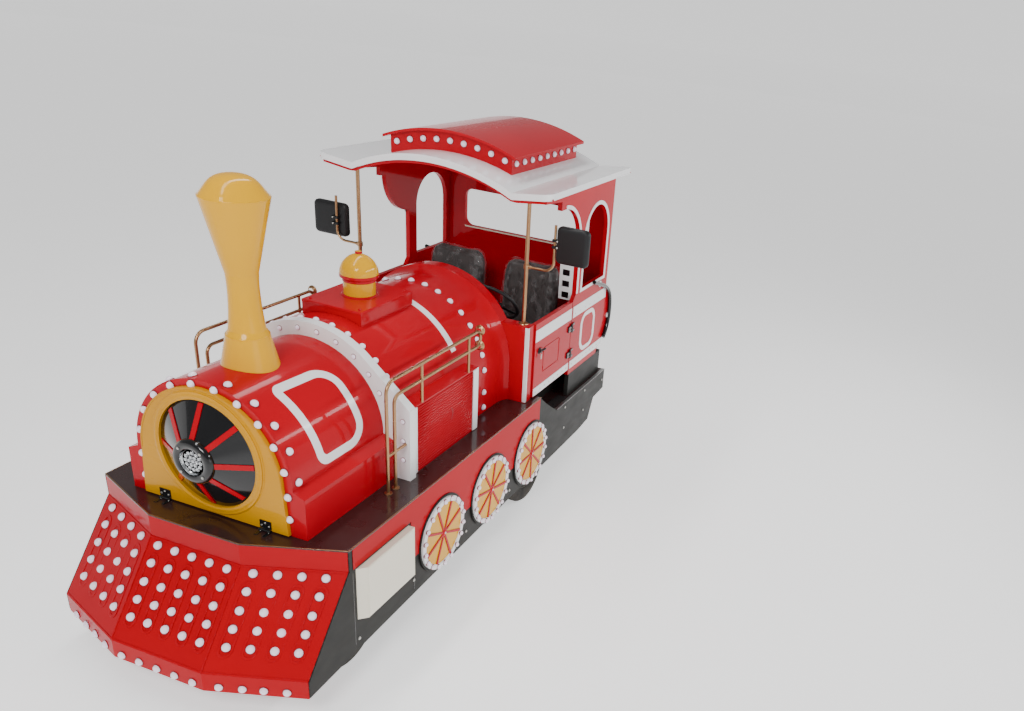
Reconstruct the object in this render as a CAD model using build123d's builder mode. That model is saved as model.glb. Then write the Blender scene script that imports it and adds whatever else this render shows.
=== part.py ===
"""Trackless amusement-train locomotive: a small electric tractor dressed as a steam engine.

Frame: +X forward, +Y to the driver's left, +Z up. The origin is on the ground, midway
between the foot of the cowcatcher and the tow eye, on the vehicle's centre line. Millimetres.
"""
import os
from math import cos, hypot, radians, sin, sqrt

from build123d import *

os.makedirs("parts", exist_ok=True)

LEFT_RIGHT = (("left", 1), ("right", -1))
UP, DOWN, MIDDLE = Align.MIN, Align.MAX, Align.CENTER

# ---- driving dimensions: the whole body ---------------------------------------------
foot_x = 1914.0            # foremost point, foot of the cowcatcher
body_half = 700.0          # half width of deck, skirts and steps
deck_top = 795.0           # running deck above the ground
floor_top = 597.0          # cab floor above the ground
deck_sheet = 6.0
floor_sheet = 4.0
panel_sheet = 3.0          # painted outer panels
skirt_sheet = 4.0
seam = 0.3                 # paint gap where two curved parts meet
running_gap = 0.05         # radial clearance of a shaft in its bore

# ---- nose ---------------------------------------------------------------------------
nose_half = 252.0          # half width of the flat front facet
facet_back = 177.0         # how far the side facets fall back
slope_run = 314.0          # how far the cowcatcher leans forward
foot_bottom = 182.0
foot_top = 279.0
fascia_depth = 107.0       # upright band under the deck edge
catcher_sheet = 6.0
deck_under = deck_top - deck_sheet
fascia_bottom = deck_under - fascia_depth
catcher_half = body_half - catcher_sheet
deck_front_x = foot_x - slope_run
deck_corner_x = deck_front_x - facet_back
deck_rear_x = -580.0

# ---- chassis ------------------------------------------------------------------------
rail_y = 225.0
rail_width = 60.0
rail_height = 100.0
rail_wall = 5.0
rail_bottom = 330.0
rail_front_x = deck_front_x - 100
rail_rear_x = -1700.0
rail_top = rail_bottom + rail_height
rail_z = rail_bottom + rail_height / 2

# ---- running gear -------------------------------------------------------------------
tyre_radius = 245.0
tyre_width = 130.0
tyre_round = 22.0
rim_radius = 150.0
hub_radius = 45.0
front_axle_x = deck_front_x - 320
rear_axle_x = -600.0
front_wheel_y = 520.0
rear_wheel_y = 560.0
kingpin_y = 400.0
kingpin_radius = 12.5
stub_radius = 15.0
stub_proud = 34.0          # stub axle beyond the middle of the wheel
axle_z = tyre_radius

# ---- boiler -------------------------------------------------------------------------
boiler_z = deck_top + 240  # centre line of both barrels
boiler_sheet = 4.0
front_x = deck_front_x - 160
front_radius = 430.0
plinth_half = 494.0
plinth_top = boiler_z - 27
hoop_front_x = 752.0
hoop_rear_x = 700.0
barrel_radius = 495.0
barrel_rear_x = -440.0
hoop_radius = barrel_radius + 10
hoop_half = barrel_radius + 91
hoop_shoulder_z = boiler_z + 160
hoop_turn = 44.0           # degrees each side where the hoop's arch meets its shoulders
louver_rear_x = 20.0
louver_half = barrel_radius + 67
louver_top = boiler_z + 150
cowl_front_x = -340.0      # where the barrel starts to flare up to the cab wall
cowl_radius = barrel_radius + 35

# ---- cab ----------------------------------------------------------------------------
cab_half = body_half - 40  # outer face of doors and side panels
wall = 30.0
inner_half = cab_half - wall
dash_rear_x = -520.0
dash_top = deck_top + 505
cab_rear_x = -1700.0
sill_z = dash_top + 61
fascia_z = 2077.0
doorway_rear_x = -1090.0
door_gap = 7.0
roof_half = body_half + 75
roof_front_x = -370.0
roof_sheet = 38.0
roof_apex = 2185.0         # underside at the centre line
brim_y = 530.0
brim_z = 2065.0            # underside where the arch meets the brim
brim_tip_z = 2095.0


def side_plane(y):
    """Upright plane along the vehicle at this y; its sketches are drawn in x and z."""
    return Plane.XZ.offset(-y)


def station(x):
    """Upright plane across the vehicle at this x; its sketches are drawn in y and z."""
    return Plane.YZ.offset(x)


def arch_profile(x, radius, plinth=None):
    """Boiler section: round top, straight sides to the deck, and a wider plinth where one is given."""
    with BuildSketch(station(x)) as profile:
        with BuildLine():
            Polyline((radius, boiler_z), (radius, deck_top), (-radius, deck_top), (-radius, boiler_z))
            ThreePointArc((-radius, boiler_z), (0, boiler_z + radius), (radius, boiler_z))
        make_face()
        if plinth:
            with BuildLine():
                Polyline((radius, boiler_z), (plinth, plinth_top), (plinth, deck_top),
                         (-plinth, deck_top), (-plinth, plinth_top), (-radius, boiler_z), close=True)
            make_face()
    return profile.sketch


def outline(plane, points):
    """Closed polygon on the plane."""
    with BuildSketch(plane) as sketch:
        with BuildLine():
            Polyline(*points, close=True)
        make_face()
    return sketch.sketch


def finish(builder, name):
    """Label the finished piece and write its STEP file."""
    builder.part.label = name
    export_step(builder.part, f"parts/{name}.step")


# =====================================================================================
# Chassis
# =====================================================================================
with BuildPart() as frame_rails:
    for side in (1, -1):
        with BuildSketch(station(rail_rear_x)):
            with Locations((side * rail_y, rail_z)):
                Rectangle(rail_width, rail_height)
                Rectangle(rail_width - 2 * rail_wall, rail_height - 2 * rail_wall, mode=Mode.SUBTRACT)
        extrude(amount=rail_front_x - rail_rear_x)
finish(frame_rails, "frame_rails")

cross_width = 60.0
cross_xs = (rail_front_x - 60, front_axle_x - 320, 100.0, -900.0, rail_rear_x + cross_width / 2)
with BuildPart() as frame_cross_members:
    for x in cross_xs:
        with Locations((x, 0, rail_z)):
            Box(cross_width, 2 * rail_y - rail_width, rail_height - 20)
finish(frame_cross_members, "frame_cross_members")

# bearers under the deck and the cab floor, on short posts that stand on the frame rails
post_size = 40.0
bearer_inset = 30.0
deck_bearer_half = body_half - bearer_inset
floor_bearer_half = rear_wheel_y - tyre_width / 2 - bearer_inset
bearer_rows = (
    (deck_under, deck_bearer_half, (front_axle_x + 90, 860.0, -300.0)),
    (floor_top - floor_sheet, floor_bearer_half, (-700.0, -1150.0, -1640.0)),
)
with BuildPart() as bearers:
    for under, half, xs in bearer_rows:
        for x in xs:
            with Locations((x, 0, under)):
                Box(post_size, 2 * half, post_size, align=(MIDDLE, MIDDLE, DOWN))
finish(bearers, "bearers")

with BuildPart() as bearer_posts:
    for under, half, xs in bearer_rows:
        for x in xs:
            for side in (1, -1):
                with Locations((x, side * rail_y, rail_top)):
                    Box(post_size, post_size, under - post_size - rail_top, align=(MIDDLE, MIDDLE, UP))
finish(bearer_posts, "bearer_posts")

# battery crate standing on the frame rails, under the boiler
battery_length, battery_width, battery_height = 700.0, 520.0, 280.0
battery_x = 330.0
battery_corner = 12.0
with BuildPart() as battery_pack:
    with Locations((battery_x, 0, rail_top)):
        Box(battery_length, battery_width, battery_height, align=(MIDDLE, MIDDLE, UP))
    fillet(battery_pack.edges().filter_by(Axis.Z), battery_corner)
finish(battery_pack, "battery_pack")

# tow hitch: plate on the rear cross member, two ears with a drop-pin bore
hitch_plate, hitch_plate_half = 12.0, 100.0
hitch_ear = 12.0
hitch_ear_half = 60.0
hitch_gap = 30.0
hitch_bore_radius = 12.5
hitch_eye_radius = 34.0
hitch_eye_x = hitch_eye_radius - foot_x
hitch_root_x = rail_rear_x - hitch_plate / 2
with BuildPart() as tow_hitch:
    with Locations((rail_rear_x, 0, rail_z)):
        Box(hitch_plate, 2 * hitch_plate_half, rail_height, align=(DOWN, MIDDLE, MIDDLE))
    for side in (1, -1):
        ear_bottom = rail_z + side * (hitch_gap + hitch_ear) / 2 - hitch_ear / 2
        with BuildSketch(Plane.XY.offset(ear_bottom)):
            with BuildLine():
                Polyline((hitch_eye_x, hitch_eye_radius), (hitch_root_x, hitch_ear_half),
                         (hitch_root_x, -hitch_ear_half), (hitch_eye_x, -hitch_eye_radius))
                ThreePointArc((hitch_eye_x, -hitch_eye_radius), (-foot_x, 0), (hitch_eye_x, hitch_eye_radius))
            make_face()
            with Locations((hitch_eye_x, 0)):
                Circle(hitch_bore_radius, mode=Mode.SUBTRACT)
        extrude(amount=hitch_ear)
finish(tow_hitch, "tow_hitch")

# =====================================================================================
# Running gear
# =====================================================================================
beam_depth, beam_half_height = 56.0, 30.0
lug_radius = 26.0
yoke_gap = 1.0             # axial play of the knuckle on the beam end
spring_pad = 90.0

with BuildPart() as front_axle_beam:
    with Locations((front_axle_x, 0, axle_z)):
        Box(beam_depth, 2 * kingpin_y, 2 * beam_half_height)
    for side in (1, -1):
        with Locations((front_axle_x, side * kingpin_y, axle_z)):
            Cylinder(lug_radius, 2 * beam_half_height)
            Cylinder(kingpin_radius + running_gap, 2 * beam_half_height, mode=Mode.SUBTRACT)
        with Locations((front_axle_x, side * rail_y, axle_z + beam_half_height)):
            Box(spring_pad, rail_width, rail_bottom - axle_z - beam_half_height, align=(MIDDLE, MIDDLE, UP))
finish(front_axle_beam, "front_axle_beam")

# rear axle: tube casing with its gearbox and the drive motor ahead of it, and a fixed stub at each end
rear_tube_radius = 35.0
rear_casing_half = rear_wheel_y - tyre_width / 2 - 25
gearbox_radius = 95.0
motor_radius, motor_length, motor_ahead = 70.0, 260.0, 150.0
seat_bite = 8.0            # how far the spring seats reach down round the tube
with BuildPart() as rear_axle:
    with Locations((rear_axle_x, 0, axle_z)):
        Cylinder(rear_tube_radius, 2 * rear_casing_half, rotation=(90, 0, 0))
        Cylinder(stub_radius, 2 * (rear_wheel_y + stub_proud), rotation=(90, 0, 0))
        Sphere(gearbox_radius)
        with Locations((motor_ahead, 0, 0)):
            Cylinder(motor_radius, motor_length, rotation=(0, 90, 0))
    for side in (1, -1):
        seat_foot = axle_z + rear_tube_radius - seat_bite
        with Locations((rear_axle_x, side * rail_y, seat_foot)):
            Box(spring_pad, rail_width, rail_bottom - seat_foot, align=(MIDDLE, MIDDLE, UP))
finish(rear_axle, "rear_axle")

rim_lip, rim_edge, rim_well = 10.0, 12.0, 22.0     # rim set in from the tyre's sides, and its thicknesses
web_half, hub_out, hub_in = 6.0, 26.0, 40.0
for end, axle_x, wheel_y in (("front", front_axle_x, front_wheel_y), ("rear", rear_axle_x, rear_wheel_y)):
    axle = Axis((axle_x, 0, axle_z), (0, 1, 0))
    rim_section = [
        (-tyre_width / 2 + rim_lip, rim_radius - seam),
        (tyre_width / 2 - rim_lip, rim_radius - seam),
        (tyre_width / 2 - rim_lip, rim_radius - rim_edge),
        (web_half, rim_radius - rim_well),
        (web_half, hub_radius),
        (hub_out, hub_radius),
        (hub_out, stub_radius + running_gap),
        (-hub_in, stub_radius + running_gap),
        (-hub_in, hub_radius),
        (-web_half, hub_radius),
        (-web_half, rim_radius - rim_well),
        (-tyre_width / 2 + rim_lip, rim_radius - rim_edge),
    ]
    for hand, side in LEFT_RIGHT:
        with BuildPart() as tyre:
            with BuildSketch(station(axle_x)):
                with Locations((side * wheel_y, axle_z + (tyre_radius + rim_radius) / 2)):
                    RectangleRounded(tyre_width, tyre_radius - rim_radius, tyre_round)
            revolve(axis=axle)
        finish(tyre, f"tyre_{end}_{hand}")
        with BuildPart() as rim:
            revolve(
                outline(station(axle_x), [(side * (wheel_y + out), axle_z + up) for out, up in rim_section]),
                axis=axle,
            )
        finish(rim, f"rim_{end}_{hand}")

# steering knuckle: C-shaped yoke, kingpin through the beam end, stub axle outwards
yoke_arm = 16.0
yoke_half = beam_half_height + yoke_gap + yoke_arm
yoke_back_y = kingpin_y + lug_radius + 8
hub_seat_y = front_wheel_y - hub_in - yoke_gap
stub_end_y = front_wheel_y + stub_proud
for hand, side in LEFT_RIGHT:
    with BuildPart() as knuckle:
        with Locations((front_axle_x, side * kingpin_y, axle_z)):
            Cylinder(kingpin_radius, 2 * yoke_half)
        for above in (1, -1):
            arm_z = axle_z + above * (yoke_half - yoke_arm / 2)
            with Locations((front_axle_x, side * kingpin_y, arm_z)):
                Cylinder(lug_radius, yoke_arm)
            with Locations((front_axle_x, side * (kingpin_y + yoke_back_y) / 2, arm_z)):
                Box(2 * lug_radius, yoke_back_y - kingpin_y, yoke_arm)
        with Locations((front_axle_x, side * (yoke_back_y + hub_seat_y) / 2, axle_z)):
            Box(2 * lug_radius, hub_seat_y - yoke_back_y, 2 * yoke_half)
        with Locations((front_axle_x, side * (hub_seat_y + stub_end_y) / 2, axle_z)):
            Cylinder(stub_radius, stub_end_y - hub_seat_y, rotation=(90, 0, 0))
    finish(knuckle, f"knuckle_{hand}")

# =====================================================================================
# Deck, cowcatcher and skirts
# =====================================================================================
with BuildPart() as running_deck:
    extrude(
        outline(
            Plane.XY.offset(deck_under),
            [(deck_front_x, nose_half), (deck_corner_x, body_half), (deck_rear_x, body_half),
             (deck_rear_x, -body_half), (deck_corner_x, -body_half), (deck_front_x, -nose_half)],
        ),
        amount=deck_sheet,
    )
finish(running_deck, "running_deck")

# three facets, each the same sheet carried up the slope
catcher_corner_x = foot_x - facet_back * (catcher_half - nose_half) / (body_half - nose_half)
front_line = [(catcher_corner_x, -catcher_half), (foot_x, -nose_half),
              (foot_x, nose_half), (catcher_corner_x, catcher_half)]


def nose_strip(z, shift):
    """Plan of the bent sheet at this height, moved back by shift."""
    outer = [(x - shift, y) for x, y in front_line]
    inner = [(x - catcher_sheet, y) for x, y in reversed(outer)]
    return outline(Plane.XY.offset(z), outer + inner)


slope_rise = fascia_bottom - foot_top
with BuildPart() as cowcatcher:
    extrude(nose_strip(foot_bottom, 0), amount=foot_top - foot_bottom)
    extrude(nose_strip(foot_top, 0), amount=hypot(slope_run, slope_rise), dir=(-slope_run, 0, slope_rise))
    extrude(nose_strip(fascia_bottom, slope_run), amount=deck_under - fascia_bottom)
finish(cowcatcher, "cowcatcher")

skirt_front_x = deck_corner_x - 20
skirt_foot_z = 200.0
foot_corner_x = foot_x - facet_back
cheek_points = [(skirt_front_x, deck_under), (deck_corner_x, deck_under), (deck_corner_x, fascia_bottom),
                (foot_corner_x, foot_top), (foot_corner_x, foot_bottom + 8), (skirt_front_x, skirt_foot_z)]
with BuildPart() as cowcatcher_cheeks:
    for side in (1, -1):
        extrude(outline(side_plane(side * catcher_half), cheek_points), amount=-side * catcher_sheet)
finish(cowcatcher_cheeks, "cowcatcher_cheeks")

skirt_outer = body_half - panel_sheet
floor_under = floor_top - floor_sheet
step_front_x = -860.0
step_rear_x = -1735.0
skirt_sweep = (-707.0, 97.0)      # middle of the curve from the step up to the deck: x, and depth under it
skirt_foot_line = [(-670.0, 250.0), (-1280.0, 262.0), (-1463.0, 281.0), (-1546.0, 430.0), (step_rear_x, 442.0)]
with BuildPart() as side_skirts:
    for side in (1, -1):
        with BuildSketch(side_plane(side * (skirt_outer - skirt_sheet))):
            with BuildLine():
                Polyline((deck_rear_x, deck_under), (skirt_front_x, deck_under), (skirt_front_x, skirt_foot_z),
                         *skirt_foot_line, (step_rear_x, floor_under), (step_front_x, floor_under))
                ThreePointArc((step_front_x, floor_under), (skirt_sweep[0], deck_under - skirt_sweep[1]),
                              (deck_rear_x, deck_under))
            make_face()
        extrude(amount=-side * skirt_sheet)
finish(side_skirts, "side_skirts")

# cream light panel: its front end is bevelled back to the skirt
lamp_length, lamp_bevel, lamp_proud = 431.0, 38.0, 37.0
lamp_top = deck_top - 127
lamp_bottom = lamp_top - 291
lamp_front_x = skirt_front_x - 27
lamp_rear_x = lamp_front_x - lamp_length
lamp_margin = 20.0
valance_rear_x, valance_foot_z = deck_rear_x + 10, 445.0
valance_front_x = skirt_front_x - 8
valance_step_x, valance_step_z = lamp_rear_x - lamp_margin, lamp_top + lamp_margin / 2
with BuildPart() as valances:
    for side in (1, -1):
        extrude(
            outline(
                side_plane(side * skirt_outer),
                [(valance_rear_x, deck_under), (valance_front_x, deck_under),
                 (valance_front_x, valance_step_z), (valance_step_x, valance_step_z),
                 (valance_step_x, valance_foot_z), (valance_rear_x, valance_foot_z)],
            ),
            amount=-side * panel_sheet,
        )
finish(valances, "valances")

with BuildPart() as light_panels:
    for side in (1, -1):
        base = side * skirt_outer
        tip = side * (skirt_outer + lamp_proud)
        extrude(
            outline(Plane.XY.offset(lamp_bottom), [(lamp_rear_x, base), (lamp_rear_x, tip),
                                                   (lamp_front_x - lamp_bevel, tip), (lamp_front_x, base)]),
            amount=lamp_top - lamp_bottom,
        )
finish(light_panels, "light_panels")

dummy_xs = (632.0, 94.0, -444.0)
dummy_z = 452.0
dummy_radius = 210.0
dummy_back_radius = 222.0
dummy_back, dummy_disc, dummy_spoke, dummy_rim = 6.0, 8.0, 14.0, 22.0   # heights of the steps of the relief
dummy_rim_width, dummy_spoke_width, dummy_hub_radius = 22.0, 13.0, 24.0
dummy_centres = [(x, dummy_z) for x in dummy_xs]
with BuildPart() as dummy_wheel_backs:
    for side in (1, -1):
        with BuildSketch(side_plane(side * body_half)):
            with Locations(*dummy_centres):
                Circle(dummy_back_radius)
        extrude(amount=-side * dummy_back)
finish(dummy_wheel_backs, "dummy_wheel_backs")

with BuildPart() as dummy_wheels:
    for side in (1, -1):
        face = side_plane(side * (body_half + dummy_back))
        with BuildSketch(face):
            with Locations(*dummy_centres):
                Circle(dummy_radius)
        extrude(amount=-side * dummy_disc)
        with BuildSketch(face):
            with Locations(*dummy_centres):
                Circle(dummy_radius)
                Circle(dummy_radius - dummy_rim_width, mode=Mode.SUBTRACT)
        extrude(amount=-side * dummy_rim)
        with BuildSketch(face):
            for centre in dummy_centres:
                with Locations(centre):
                    Circle(dummy_hub_radius)
                    with PolarLocations(0, 8):
                        with Locations((dummy_radius / 2, 0)):
                            Rectangle(dummy_radius - dummy_rim_width / 2, dummy_spoke_width)
        extrude(amount=-side * dummy_spoke)
finish(dummy_wheels, "dummy_wheels")

# =====================================================================================
# Boiler
# =====================================================================================
door_z = deck_top + 322    # middle of the grille and the headlamp
mouth_radius = 285.0
with BuildPart() as front_barrel:
    extrude(arch_profile(hoop_front_x, front_radius, plinth_half), amount=front_x - hoop_front_x)
    extrude(
        arch_profile(hoop_front_x, front_radius - boiler_sheet, plinth_half - boiler_sheet),
        amount=front_x - boiler_sheet - hoop_front_x, mode=Mode.SUBTRACT,
    )
    with BuildSketch(station(front_x)):
        with Locations((0, door_z)):
            Circle(mouth_radius)
    extrude(amount=-2 * boiler_sheet, mode=Mode.SUBTRACT)
finish(front_barrel, "front_barrel")

hoop_depth = hoop_front_x - hoop_rear_x
hoop_wall = 30.0
hoop_turn_y = hoop_radius * sin(radians(hoop_turn))
hoop_turn_z = boiler_z + hoop_radius * cos(radians(hoop_turn))
with BuildPart() as white_hoop:
    with BuildSketch(station(hoop_rear_x)):
        with BuildLine():
            Polyline((hoop_turn_y, hoop_turn_z), (hoop_half, hoop_shoulder_z), (hoop_half, deck_top),
                     (-hoop_half, deck_top), (-hoop_half, hoop_shoulder_z), (-hoop_turn_y, hoop_turn_z))
            ThreePointArc((-hoop_turn_y, hoop_turn_z), (0, boiler_z + hoop_radius), (hoop_turn_y, hoop_turn_z))
        make_face()
    extrude(amount=hoop_depth)
    extrude(arch_profile(hoop_rear_x, front_radius - hoop_wall, plinth_half - hoop_wall),
            amount=hoop_depth, mode=Mode.SUBTRACT)
finish(white_hoop, "white_hoop")

# rear barrel, flared up to the cab wall in a cove
flare = cowl_radius - barrel_radius
cowl_depth = cowl_front_x - barrel_rear_x
cove_radius = (cowl_depth**2 + flare**2) / (2 * flare)
cove_half_turn = cowl_depth / 2 / cove_radius


def cove_section(to_point):
    """Edge of the flared sheet; to_point places a station along the boiler and a height above its sheet."""
    dip = cove_radius * (1 - cos(cove_half_turn))
    outer = [(cowl_front_x, 0), (cowl_front_x - cove_radius * sin(cove_half_turn), dip), (barrel_rear_x, flare)]
    inner = [(x, up - boiler_sheet) for x, up in reversed(outer)]
    with BuildLine() as edge:
        ThreePointArc(*[to_point(x, up) for x, up in outer])
        Line(to_point(*outer[2]), to_point(*inner[0]))
        ThreePointArc(*[to_point(x, up) for x, up in inner])
        Line(to_point(*inner[2]), to_point(*outer[0]))
    return edge.line


with BuildPart() as rear_barrel:
    extrude(arch_profile(cowl_front_x, barrel_radius), amount=hoop_rear_x - cowl_front_x)
    extrude(arch_profile(cowl_front_x, barrel_radius - boiler_sheet),
            amount=hoop_rear_x - cowl_front_x, mode=Mode.SUBTRACT)
    for side in (1, -1):
        with BuildSketch(Plane.XY.offset(deck_top)):
            add(cove_section(lambda x, up: (x, side * (barrel_radius + up))))
            make_face()
        extrude(amount=boiler_z - deck_top)
    with BuildSketch(Plane.XY.offset(boiler_z)):
        add(cove_section(lambda x, up: (x, barrel_radius + up)))
        make_face()
    revolve(axis=Axis((0, 0, boiler_z), (1, 0, 0)), revolution_arc=180)
finish(rear_barrel, "rear_barrel")

louver_lap = 75.0          # how far the boxes' tops reach in over the barrel
louver_length = hoop_rear_x - louver_rear_x
with BuildPart() as louver_boxes:
    for side in (1, -1):
        inner = side * (barrel_radius + seam)
        lapped = side * (barrel_radius - louver_lap)
        outer = side * louver_half
        extrude(outline(station(louver_rear_x), [(inner, deck_top), (outer, deck_top), (outer, louver_top),
                                                 (lapped, louver_top), (lapped, boiler_z), (inner, boiler_z)]),
                amount=louver_length)
    extrude(arch_profile(louver_rear_x, barrel_radius + seam), amount=louver_length, mode=Mode.SUBTRACT)
finish(louver_boxes, "louver_boxes")

saddle_front_x, saddle_rear_x, saddle_half = 560.0, 95.0, 180.0
saddle_top = boiler_z + barrel_radius + 42
saddle_arc = barrel_radius + seam
with BuildPart() as bell_plinth:
    with BuildSketch(station(saddle_rear_x)):
        with BuildLine():
            saddle_foot = boiler_z + sqrt(saddle_arc**2 - saddle_half**2)
            Polyline((saddle_half, saddle_foot), (saddle_half, saddle_top),
                     (-saddle_half, saddle_top), (-saddle_half, saddle_foot))
            ThreePointArc((-saddle_half, saddle_foot), (0, boiler_z + saddle_arc), (saddle_half, saddle_foot))
        make_face()
    extrude(amount=saddle_front_x - saddle_rear_x)
finish(bell_plinth, "bell_plinth")

bell_x = 318.0
bell_radius, bell_height = 84.0, 95.0
cap_radius, cap_lip, cap_side = 101.0, 10.0, 24.0
knob_radius, knob_height = 17.0, 14.0
cap_foot = saddle_top + bell_height
cap_shoulder = cap_foot + cap_lip + cap_side
cap_rise = 95.0
with BuildPart() as bell:
    with BuildSketch(Plane.XZ):
        with BuildLine():
            Polyline((bell_x, saddle_top), (bell_x + bell_radius, saddle_top), (bell_x + bell_radius, cap_foot),
                     (bell_x + cap_radius, cap_foot + cap_lip), (bell_x + cap_radius, cap_shoulder))
            ThreePointArc((bell_x + cap_radius, cap_shoulder),
                          (bell_x + 0.7 * cap_radius, cap_shoulder + 0.68 * cap_rise),
                          (bell_x + knob_radius, cap_shoulder + cap_rise))
            Polyline((bell_x + knob_radius, cap_shoulder + cap_rise),
                     (bell_x + knob_radius, cap_shoulder + cap_rise + knob_height),
                     (bell_x, cap_shoulder + cap_rise + knob_height), (bell_x, saddle_top))
        make_face()
    revolve(axis=Axis((bell_x, 0, 0), (0, 0, 1)))
finish(bell, "bell")

# chimney: a flared foot on the barrel, a narrow waist, and a coned bowl with a domed top
chimney_x = front_x - 290
stack_foot_z = boiler_z + front_radius - 75
stack_foot_radius, stack_seam_radius, stack_neck_radius, stack_waist_radius = 137.0, 95.0, 82.0, 69.0
stack_skirt_z, stack_seam_z, stack_neck_z = stack_foot_z + 22, stack_foot_z + 210, stack_foot_z + 235
stack_waist_z = stack_foot_z + 385
bowl_root_radius, bowl_radius, bowl_root_z = 71.0, 147.0, stack_foot_z + 495
bowl_z, dome_z = stack_foot_z + 830, stack_foot_z + 925
with BuildPart() as chimney:
    with BuildSketch(Plane.XZ):
        with BuildLine():
            Polyline((chimney_x, stack_foot_z), (chimney_x + stack_foot_radius, stack_foot_z),
                     (chimney_x + stack_foot_radius, stack_skirt_z), (chimney_x + stack_seam_radius, stack_seam_z),
                     (chimney_x + stack_neck_radius, stack_neck_z))
            Spline((chimney_x + stack_neck_radius, stack_neck_z), (chimney_x + stack_waist_radius, stack_waist_z),
                   (chimney_x + bowl_root_radius, bowl_root_z), tangents=[(-0.15, 1), (0.1, 1)])
            Line((chimney_x + bowl_root_radius, bowl_root_z), (chimney_x + bowl_radius, bowl_z))
            Spline((chimney_x + bowl_radius, bowl_z),
                   (chimney_x + 0.6 * bowl_radius, (bowl_z + 3 * dome_z) / 4),
                   (chimney_x, dome_z), tangents=[(-0.5, 0.6), (-1, 0)])
            Line((chimney_x, dome_z), (chimney_x, stack_foot_z))
        make_face()
    revolve(axis=Axis((chimney_x, 0, 0), (0, 0, 1)))
    with BuildSketch(station(chimney_x - bowl_radius)):
        with Locations((0, boiler_z)):
            Circle(front_radius + seam)
    extrude(amount=2 * bowl_radius, mode=Mode.SUBTRACT)
finish(chimney, "chimney")

# handrails: one bent tube a side, on two flanges, two stand-offs and a rung to the hoop
rail_plane_y, rail_tube, strut_tube = louver_half - 2, 9.0, 8.0
rail_outer_x, rail_inner_x, rail_end_x = hoop_front_x + 158, hoop_front_x + 93, 0.0
rail_high, rail_low = deck_top + 605, deck_top + 515
flange_radius, flange_sheet = 20.0, 5.0
standoff_xs = (600.0, 127.0)
rung_z = deck_top + 210
rail_foot = deck_top + flange_sheet - 1
with BuildPart() as handrails:
    for side in (1, -1):
        y = side * rail_plane_y
        with BuildLine() as route:
            FilletPolyline((rail_outer_x, y, rail_foot), (rail_outer_x, y, rail_high), (rail_end_x, y, rail_high),
                           (rail_end_x, y, rail_low), (rail_inner_x, y, rail_low), (rail_inner_x, y, rail_foot),
                           radius=[60, 40, 40, 45])
        with BuildSketch(Plane.XY.offset(rail_foot)):
            with Locations((rail_outer_x, y)):
                Circle(rail_tube)
        sweep(path=route.line)
        for x in (rail_outer_x, rail_inner_x):
            with Locations((x, y, deck_top)):
                Cylinder(flange_radius, flange_sheet, align=(MIDDLE, MIDDLE, UP))
        for x in standoff_xs:
            with Locations((x, y, louver_top)):
                Cylinder(strut_tube, rail_high - louver_top, align=(MIDDLE, MIDDLE, UP))
        with Locations(((hoop_front_x + rail_outer_x) / 2, y, rung_z)):
            Cylinder(strut_tube, rail_outer_x - hoop_front_x, rotation=(0, 90, 0))
finish(handrails, "handrails")

# smokebox door: yellow plate hinged at its foot, with a ring round the grille
door_gap_x = 1.0
door_back_x = front_x + door_gap_x
door_thick = 18.0
door_face_x = door_back_x + door_thick
door_foot = deck_top + 8
door_centre_z = boiler_z + 10
door_radius = 390.0
door_foot_half = 408.0
grille_radius = 265.0
ring_width, ring_proud = 36.0, 10.0
with BuildPart() as smokebox_door:
    with BuildSketch(station(door_back_x)):
        with BuildLine():
            Polyline((door_radius, door_centre_z), (door_foot_half, door_foot), (-door_foot_half, door_foot),
                     (-door_radius, door_centre_z))
            ThreePointArc((-door_radius, door_centre_z), (0, door_centre_z + door_radius), (door_radius, door_centre_z))
        make_face()
        with Locations((0, door_z)):
            Circle(grille_radius, mode=Mode.SUBTRACT)
    extrude(amount=door_thick)
    with BuildSketch(station(door_face_x)):
        with Locations((0, door_z)):
            Circle(grille_radius + ring_width)
            Circle(grille_radius, mode=Mode.SUBTRACT)
    extrude(amount=ring_proud)
finish(smokebox_door, "smokebox_door")

# grille: a hollow black cone set in the door, eight red bars laid on it, and the headlamp at its tip
lamp_axis = Axis((0, 0, door_z), (1, 0, 0))
grille_rim = grille_radius - seam
grille_face_x = door_back_x + 14
grille_tip_x = grille_face_x + 82
grille_tip_radius = 100.0
grille_sheet = 4.0


def cone_section(lift):
    """Outer line of the grille cone, from its rim to its tip, raised by lift."""
    return [(grille_face_x, door_z + grille_rim + lift), (grille_tip_x, door_z + grille_tip_radius + lift)]


with BuildPart() as grille_cone:
    rim_point, tip_point = cone_section(0)
    inner_rim, inner_tip = cone_section(-grille_sheet)
    revolve(
        outline(Plane.XZ, [(door_back_x, rim_point[1]), rim_point, tip_point, inner_tip, inner_rim,
                           (door_back_x, inner_rim[1])]),
        axis=lamp_axis,
    )
finish(grille_cone, "grille_cone")

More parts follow.
